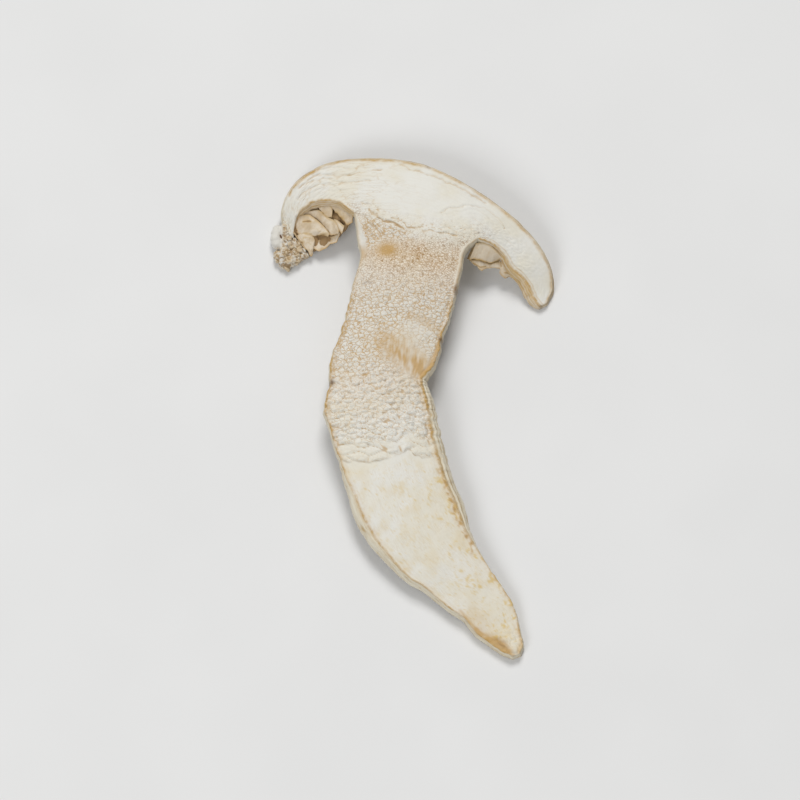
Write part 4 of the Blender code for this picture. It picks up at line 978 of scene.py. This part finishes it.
veil = {
    # white lump beside the margin, then the crumbly rag under it: x, y, height, radius
    "lumps": ((-30.3, 42.2, 1.2, 1.1), (-30.4, 41.2, 1.4, 1.35), (-30.4, 40.0, 1.45, 1.45), (-30.3, 38.9, 1.3, 1.35),
              (-30.3, 36.6, 0.9, 0.8), (-29.9, 35.6, 1.2, 1.2), (-29.0, 34.2, 1.0, 1.1), (-28.4, 36.4, 1.7, 1.3),
              (-28.0, 33.2, 0.8, 0.7), (-27.6, 34.8, 1.3, 1.3), (-26.3, 36.3, 1.6, 1.2), (-25.9, 35.0, 1.2, 1.0),
              (-24.8, 35.8, 1.2, 0.9), (-24.0, 35.9, 1.0, 0.7), (-28.8, 38.0, 1.4, 1.1), (-27.3, 38.3, 1.6, 1.1),
              (-26.2, 38.0, 1.6, 1.0), (-25.4, 37.2, 1.5, 0.9), (-28.9, 39.6, 1.5, 1.1), (-28.8, 41.0, 1.6, 1.0),
              (-28.9, 42.3, 1.7, 0.8), (-27.8, 39.7, 1.9, 0.8), (-26.3, 39.2, 1.4, 0.8), (-25.6, 38.2, 1.4, 0.8),
              (-24.9, 37.2, 1.3, 0.8), (-24.2, 36.5, 1.1, 0.6)),
    "grid": 0.13,                   # mm, size of its faces
    "crumb": 0.36,
    "pit": (-29.5, 40.2, 0.4, 0.75),
}


def makeVeil():
    shaping = bpy.data.meshes.new("veil_shaping")
    ball = [(math.cos(a) * math.cos(b), math.sin(a) * math.cos(b), math.sin(b))
            for b in np.linspace(-1.45, 1.45, 11) for a in np.linspace(0, 2 * math.pi, 18, endpoint=False)]
    index = np.arange(len(ball)).reshape(11, 18)
    ballFaces = gridQuads(np.concatenate([index, index[:, :1]], axis=1))[:, ::-1].tolist()
    ballFaces += [index[0, ::-1].tolist(), index[-1].tolist()]
    points, faces = [], []
    for x, y, z, radius in veil["lumps"]:
        faces += [[corner + len(points) for corner in face] for face in ballFaces]
        points += [(x + radius * dx, y + radius * dy, z + radius * dz) for dx, dy, dz in ball]
    shaping.from_pydata(points, [], faces)
    rough = bpy.data.objects.new("veil_shaping", shaping)
    bpy.context.scene.collection.objects.link(rough)
    remesh = rough.modifiers.new("one_skin", "REMESH")
    remesh.mode = "VOXEL"
    remesh.voxel_size = veil["grid"]
    ease = rough.modifiers.new("ease", "SMOOTH")
    ease.factor = 0.5
    ease.iterations = 14
    done = bpy.data.meshes.new_from_object(rough.evaluated_get(bpy.context.evaluated_depsgraph_get()))
    bpy.data.objects.remove(rough)
    spots = np.array([vertex.co[:] for vertex in done.vertices])
    normals = np.array([vertex.normal[:] for vertex in done.vertices])
    faces = [list(polygon.vertices) for polygon in done.polygons]
    bpy.data.meshes.remove(done)
    white = soft(spots[:, 1], 36.9, 38.1) * (1 - soft(spots[:, 0], -29.5, -28.9))
    hollow = np.zeros(len(spots))
    for number, spot in enumerate(spots):
        bent = Vector(spot) + noise.noise_vector(Vector(spot) * 0.9) * 0.9
        lump = abs(noise.noise(Vector((bent.x * 0.45, bent.y * 1.0, bent.z * 0.8)))) * 2 - 0.35
        crumb = abs(noise.noise(Vector((bent.x * 0.9, bent.y * 1.9, bent.z * 1.4)))) * 2 - 0.4
        grit = noise.noise(bent * 3.0)
        calm = 1 - 0.85 * white[number]
        spots[number] += normals[number] * calm * (veil["crumb"] * (1.2 * lump + 0.5 * crumb) + 0.06 * grit)
        # the rag's crevices are darkened: partly its own brown, partly painted shade
        hollow[number] = calm * (0.30 - 1.4 * lump - 1.2 * crumb)
    # a dent in the white lump, painted near black as painted shade
    pitX, pitY, wide, tall = veil["pit"]
    pit = patch(spots[:, 0], spots[:, 1], (pitX, pitY), (wide, tall), 0.35) * (spots[:, 2] > 1.2)
    spots[:, 2] = np.maximum(spots[:, 2] - 0.5 * pit, 0.0)
    masks = {"hollow": np.clip(hollow, 0, 1), "white": white, "pit": pit, "grainAt": spots.copy()}
    return addPiece("veil_scrap", spots, faces, masks, "veil_remnant")


# materials

palette = {
    "white": (0.800, 0.785, 0.725),
    "cream": (0.775, 0.725, 0.590),
    "grainTop": (0.735, 0.610, 0.445),
    "grainPaleAndHighlight": (0.900, 0.840, 0.740),
    "pinkBrown": (0.680, 0.510, 0.340),
    "jointAndShade": (0.340, 0.200, 0.090),
    "valley": (0.520, 0.325, 0.125),
    "freckle": (0.710, 0.530, 0.225),
    "ochre": (0.550, 0.335, 0.110),
    "dark": (0.130, 0.060, 0.022),
    "stemSkin": (0.680, 0.600, 0.450),
    "stemSkinDark": (0.540, 0.400, 0.210),
    "capSkin": (0.420, 0.280, 0.130),
    "edge": (0.530, 0.325, 0.095),
    "gill": (0.600, 0.475, 0.320),
    "gillPale": (0.730, 0.635, 0.500),
    "gillBrownAndShade": (0.290, 0.165, 0.065),
    "gillWall": (0.600, 0.440, 0.225),
    "veilPale": (0.730, 0.705, 0.645),
    "veilTan": (0.610, 0.490, 0.325),
    "veilBrownAndShade": (0.350, 0.220, 0.095),
}


class Paint:
    # short names for the nodes of one material
    def __init__(self, name):
        self.material = bpy.data.materials.new(name)
        self.material.use_nodes = True
        self.tree = self.material.node_tree
        self.shader = self.tree.nodes["Principled BSDF"]
        self.place = self.tree.nodes.new("ShaderNodeTexCoord").outputs["Object"]

    def link(self, source, target):
        self.tree.links.new(source, target)

    def mask(self, name, field="Fac"):
        made = self.tree.nodes.new("ShaderNodeAttribute")
        made.attribute_name = name
        return made.outputs[field]

    def noise(self, size, detail=4.0, roughness=0.55, where=None, stretch=(1, 1, 1)):
        # size is the width of a lump in mm
        scale = self.tree.nodes.new("ShaderNodeMapping")
        scale.vector_type = "POINT"
        unit = 1.0 if where is not None else 1 / mm
        scale.inputs["Scale"].default_value = [unit / (size * part) for part in stretch]
        self.link(where if where is not None else self.place, scale.inputs["Vector"])
        made = self.tree.nodes.new("ShaderNodeTexNoise")
        made.inputs["Scale"].default_value = 1.0
        made.inputs["Detail"].default_value = detail
        made.inputs["Roughness"].default_value = roughness
        self.link(scale.outputs["Vector"], made.inputs["Vector"])
        return made.outputs["Fac"]

    def ramp(self, source, low, high, bottom=0.0, top=1.0):
        made = self.tree.nodes.new("ShaderNodeMapRange")
        made.interpolation_type = "SMOOTHSTEP"
        made.inputs["From Min"].default_value = low
        made.inputs["From Max"].default_value = high
        made.inputs["To Min"].default_value = bottom
        made.inputs["To Max"].default_value = top
        self.link(source, made.inputs["Value"])
        return made.outputs["Result"]

    def maths(self, kind, first, second):
        made = self.tree.nodes.new("ShaderNodeMath")
        made.operation = kind
        made.use_clamp = True
        for socket, value in zip(made.inputs, (first, second)):
            if isinstance(value, (int, float)):
                socket.default_value = value
            else:
                self.link(value, socket)
        return made.outputs[0]

    def mix(self, share, first, second):
        made = self.tree.nodes.new("ShaderNodeMix")
        made.data_type = "RGBA"
        for socket, value in ((made.inputs[0], share), (made.inputs[6], first), (made.inputs[7], second)):
            if isinstance(value, (int, float)):
                socket.default_value = value
            elif isinstance(value, tuple):
                socket.default_value = (*value, 1)
            else:
                self.link(value, socket)
        return made.outputs[2]

    def bump(self, height, depth, strength=1.0, below=None):
        made = self.tree.nodes.new("ShaderNodeBump")
        made.inputs["Distance"].default_value = depth * mm
        made.inputs["Strength"].default_value = strength
        self.link(height, made.inputs["Height"])
        if below is not None:
            self.link(below, made.inputs["Normal"])
        return made.outputs["Normal"]

    def finish(self, colour, roughness, normal, sheen=0.0):
        self.link(colour, self.shader.inputs["Base Color"])
        self.link(roughness, self.shader.inputs["Roughness"])
        self.link(normal, self.shader.inputs["Normal"])
        self.shader.inputs["Specular IOR Level"].default_value = 0.3
        self.shader.inputs["Sheen Weight"].default_value = sheen
        self.shader.inputs["Sheen Roughness"].default_value = 0.6
        return self.material

    def cellEdge(self, size, shift, amount, where=None):
        # distance from the joints of a cell pattern: its width and length in mm, bent by a soft noise
        unit = 1.0 if where is not None else mm
        source = where if where is not None else self.place
        bend = self.tree.nodes.new("ShaderNodeTexNoise")
        bend.inputs["Scale"].default_value = 1 / (1.6 * min(size) * unit)
        bend.inputs["Detail"].default_value = 2.0
        self.link(source, bend.inputs["Vector"])
        moved = self.tree.nodes.new("ShaderNodeVectorMath")
        moved.operation = "MULTIPLY_ADD"
        self.link(bend.outputs["Color"], moved.inputs[0])
        moved.inputs[1].default_value = (amount * min(size) * unit,) * 3
        self.link(source, moved.inputs[2])
        scale = self.tree.nodes.new("ShaderNodeMapping")
        scale.inputs["Location"].default_value = (shift, shift, 0)
        scale.inputs["Scale"].default_value = (1 / (size[0] * unit), 1 / (size[1] * unit), 1 / (size[0] * unit))
        self.link(moved.outputs["Vector"], scale.inputs["Vector"])
        grains = self.tree.nodes.new("ShaderNodeTexVoronoi")
        grains.feature = "DISTANCE_TO_EDGE"
        grains.inputs["Scale"].default_value = 1.0
        self.link(scale.outputs["Vector"], grains.inputs["Vector"])
        return grains.outputs["Distance"]


def fleshPaint():
    paint = Paint("dried_mushroom_flesh")

    def mult(first, second):
        return paint.maths("MULTIPLY", first, second)

    grainAt = paint.mask("grainAt", "Vector")
    hollow, warm, stain, grained = (paint.mask(name) for name in ("hollow", "warm", "stain", "grained"))
    freckle, knobbed, wrinkled = (paint.mask(name) for name in ("freckle", "knobbed", "wrinkled"))
    bruise, edge, skin = (paint.mask(name) for name in ("bruise", "edge", "skin"))
    capSkin, gillWall = paint.mask("capSkin"), paint.mask("gillWall")
    broad, mid = paint.noise(9, 3), paint.noise(2.4, 4, 0.6)
    fine = paint.noise(0.7, 5, 0.6)
    fibre = paint.noise(0.5, 4, 0.6, grainAt, (1, 16, 1))
    pebble = paint.cellEdge((0.64, 0.44), 3.3, 1.5)
    cluster = paint.ramp(paint.noise(1.1, 4, 0.65), 0.38, 0.62)
    knob = paint.cellEdge((1.2, 0.78), 5.1, 1.4)
    strand = paint.cellEdge((0.75, 4.5), 2.7, 0.9, grainAt)
    wrinkles = paint.ramp(paint.cellEdge((1.5, 0.9), 9.1, 0.9), 0.0, 0.22)
    colour = paint.mix(paint.ramp(broad, 0.4, 0.62, 0.0, 0.6), palette["white"], palette["cream"])
    strandLine = mult(paint.ramp(strand, 0.0, 0.10, 0.32, 0.0), paint.ramp(mid, 0.38, 0.6))
    colour = paint.mix(mult(wrinkled, strandLine), colour, palette["valley"])
    grainTop = paint.mix(paint.ramp(mid, 0.35, 0.65), palette["grainTop"], palette["pinkBrown"])
    colour = paint.mix(warm, colour, grainTop)
    # grain crests turn paler: partly the grains' own pale tops, partly painted highlight
    grainCrest = mult(paint.ramp(pebble, 0.06, 0.2, 0.0, 1.0), paint.ramp(cluster, 0.0, 1.0, 0.4, 1.0))
    colour = paint.mix(mult(warm, mult(grained, grainCrest)), colour, palette["grainPaleAndHighlight"])
    # grain joints turn dark brown: partly their own colour, partly painted shade
    grainJointAndShade = mult(paint.ramp(pebble, 0.0, 0.13, 1.0, 0.0), paint.ramp(cluster, 0.0, 1.0, 1.0, 0.4))
    colour = paint.mix(mult(grained, grainJointAndShade), colour, palette["jointAndShade"])
    colour = paint.mix(mult(knobbed, paint.ramp(knob, 0.03, 0.16, 0.0, 0.75)), colour, palette["white"])
    colour = paint.mix(mult(knobbed, paint.ramp(knob, 0.0, 0.09, 0.85, 0.0)), colour, palette["valley"])
    # hollow turns joints, creases and valleys ochre: partly the flesh's own ochre lines, partly painted shade in the
    # creases and under the lumps
    colour = paint.mix(mult(paint.ramp(hollow, 0.15, 0.9), paint.ramp(mid, 0.3, 0.7, 0.45, 0.8)), colour,
                       palette["valley"])
    colour = paint.mix(mult(paint.ramp(fibre, 0.5, 0.75), 0.08), colour, palette["ochre"])
    colour = paint.mix(mult(freckle, 0.85), colour, palette["freckle"])
    colour = paint.mix(mult(stain, 0.85), colour, palette["ochre"])
    sideSkin = paint.mix(paint.ramp(fibre, 0.38, 0.62), palette["cream"], palette["stemSkin"])
    sideSkin = paint.mix(paint.ramp(hollow, 0.45, 0.95), sideSkin, palette["stemSkinDark"])
    crownSkin = paint.mix(paint.ramp(fibre, 0.35, 0.65), palette["stemSkin"], palette["capSkin"])
    gillSkin = paint.mix(paint.ramp(fibre, 0.36, 0.6), palette["gillPale"], palette["gillWall"])
    gillSkin = paint.mix(paint.ramp(hollow, 0.35, 0.8, 0.0, 0.7), gillSkin, palette["ochre"])
    colour = paint.mix(mult(skin, 0.9), colour, sideSkin)
    colour = paint.mix(capSkin, colour, crownSkin)
    colour = paint.mix(gillWall, colour, gillSkin)
    colour = paint.mix(mult(edge, paint.ramp(fine, 0.3, 0.6, 0.5, 1.0)), colour, palette["edge"])
    colour = paint.mix(mult(bruise, 0.85), colour, palette["dark"])
    roughness = paint.ramp(broad, 0.3, 0.7, 0.78, 0.92)
    normal = paint.bump(mult(grained, paint.ramp(pebble, 0.0, 0.4)), 0.07, 0.8)
    normal = paint.bump(mult(knobbed, paint.ramp(knob, 0.0, 0.35)), 0.14, 0.8, normal)
    normal = paint.bump(mult(wrinkled, paint.ramp(strand, 0.0, 0.2)), 0.06, 0.7, normal)
    normal = paint.bump(wrinkles, 0.03, 0.35, normal)
    normal = paint.bump(fine, 0.10, 0.5, normal)
    normal = paint.bump(fibre, 0.07, 0.45, normal)
    return paint.finish(colour, roughness, normal, 0.08)


def gillPaint():
    paint = Paint("dried_gills")
    grainAt = paint.mask("grainAt", "Vector")
    hollow, edge, pale = paint.mask("hollow"), paint.mask("edge"), paint.mask("pale")
    cloud, patchy = paint.noise(2.5, 4), paint.noise(1.1, 4, 0.6)
    ribs = paint.noise(0.40, 4, 0.6, grainAt, (1, 14, 1))
    fine = paint.noise(0.4, 4, 0.6)
    colour = paint.mix(paint.ramp(cloud, 0.4, 0.62), palette["gillPale"], palette["gill"])
    colour = paint.mix(paint.maths("MULTIPLY", pale, 0.5), colour, palette["gillPale"])
    colour = paint.mix(paint.maths("MULTIPLY", paint.ramp(ribs, 0.52, 0.75), 0.3), colour, palette["valley"])
    colour = paint.mix(paint.maths("MULTIPLY", paint.ramp(patchy, 0.52, 0.7), 0.2), colour, palette["ochre"])
    # hollow brings brown marks, and painted shade at the roots, folds, dips, the bed and the lamina behind
    colour = paint.mix(paint.ramp(hollow, 0.1, 0.6, 0.0, 0.75), colour, palette["gillWall"])
    colour = paint.mix(paint.ramp(hollow, 0.6, 1.0, 0.0, 0.8), colour, palette["gillBrownAndShade"])
    colour = paint.mix(paint.maths("MULTIPLY", edge, 0.7), colour, palette["edge"])
    roughness = paint.ramp(cloud, 0.3, 0.7, 0.62, 0.82)
    normal = paint.bump(ribs, 0.08, 0.5)
    normal = paint.bump(fine, 0.05, 0.5, normal)
    return paint.finish(colour, roughness, normal, 0.05)


def veilPaint():
    paint = Paint("dried_veil")
    hollow, white, pit = paint.mask("hollow"), paint.mask("white"), paint.mask("pit")
    cloud = paint.noise(1.3, 5, 0.65)
    fine = paint.noise(0.35, 5, 0.65)
    rag = paint.mix(paint.ramp(cloud, 0.36, 0.56), palette["veilPale"], palette["veilTan"])
    colour = paint.mix(paint.maths("SUBTRACT", 1.0, white), palette["veilPale"], rag)
    colour = paint.mix(paint.ramp(hollow, 0.15, 0.8, 0.0, 0.8), colour, palette["veilBrownAndShade"])
    colour = paint.mix(paint.ramp(pit, 0.5, 0.8), colour, palette["dark"])
    roughness = paint.ramp(fine, 0.3, 0.7, 0.85, 0.97)
    normal = paint.bump(fine, 0.14, 0.7)
    return paint.finish(colour, roughness, normal, 0.15)


def floorPaint():
    paint = Paint("pale_floor")
    soft_ = paint.noise(40, 2)
    colour = paint.mix(paint.ramp(soft_, 0.3, 0.7), (0.80, 0.80, 0.795), (0.82, 0.82, 0.815))
    return paint.finish(colour, paint.ramp(soft_, 0.3, 0.7, 0.7, 0.75), paint.bump(soft_, 0.01, 0.1))


# stage

stage = {
    "floorSize": 1.6,
    "elevation": 70,
    "distance": 3.975,              # m, far off, so the slice keeps its outline as in the photograph
    "lens": 800,
    "aim": (-2.56, 3.1, 0.0),       # mm
    "keyPower": 26.5,
    "keyFrom": (0.07, 1.35, 1.70),
    "keySize": 0.85,
    "fillPower": 6.2,
    "fillFrom": (-0.60, -0.80, 0.90),
    "worldStrength": 0.30,
}


def makeStage():
    half = stage["floorSize"] / 2
    mesh = bpy.data.meshes.new("floor")
    mesh.from_pydata([(-half, -half, 0), (half, -half, 0), (half, half, 0), (-half, half, 0)], [], [(0, 1, 2, 3)])
    floor = bpy.data.objects.new("floor", mesh)
    floor.location.z = -0.0001
    bpy.context.scene.collection.objects.link(floor)
    mesh.materials.append(floorPaint())


def lookAt(item, target):
    item.rotation_euler = (Vector(target) - item.location).to_track_quat("-Z", "Y").to_euler()


def areaLight(name, place, power, size, colour):
    light = bpy.data.lights.new(name, "AREA")
    light.energy = power
    light.size = size
    light.color = colour
    item = bpy.data.objects.new(name, light)
    item.location = place
    bpy.context.scene.collection.objects.link(item)
    lookAt(item, (0, 0, 0))


def makeLights():
    areaLight("key_light", stage["keyFrom"], stage["keyPower"], stage["keySize"], (1.0, 0.995, 0.985))
    areaLight("fill_light", stage["fillFrom"], stage["fillPower"], 0.6, (0.98, 0.99, 1.0))
    world = bpy.data.worlds.new("studio")
    world.use_nodes = True
    world.node_tree.nodes["Background"].inputs["Color"].default_value = (1, 1, 1, 1)
    world.node_tree.nodes["Background"].inputs["Strength"].default_value = stage["worldStrength"]
    bpy.context.scene.world = world
    bpy.context.scene.view_settings.view_transform = "Standard"


def makeCamera():
    lens = bpy.data.cameras.new("camera")
    lens.lens = stage["lens"]
    lens.sensor_width = 36
    lens.clip_start = 0.01
    camera = bpy.data.objects.new("camera", lens)
    bpy.context.scene.collection.objects.link(camera)
    aim = Vector(stage["aim"]) * mm
    lift = math.radians(stage["elevation"])
    camera.location = aim + Vector((0, -math.cos(lift), math.sin(lift))) * stage["distance"]
    lookAt(camera, aim)
    bpy.context.scene.camera = camera


fleshPiece = makeFlesh()
fleshPiece.data.materials.append(fleshPaint())
print("flesh made")
gillSurface = gillPaint()
for piece in (makeLeftGills(), makeRightGills()):
    piece.data.materials.append(gillSurface)
print("gills made")
makeVeil().data.materials.append(veilPaint())
print("veil made")
makeStage()
makeLights()
makeCamera()
print("stage, lights and camera set")
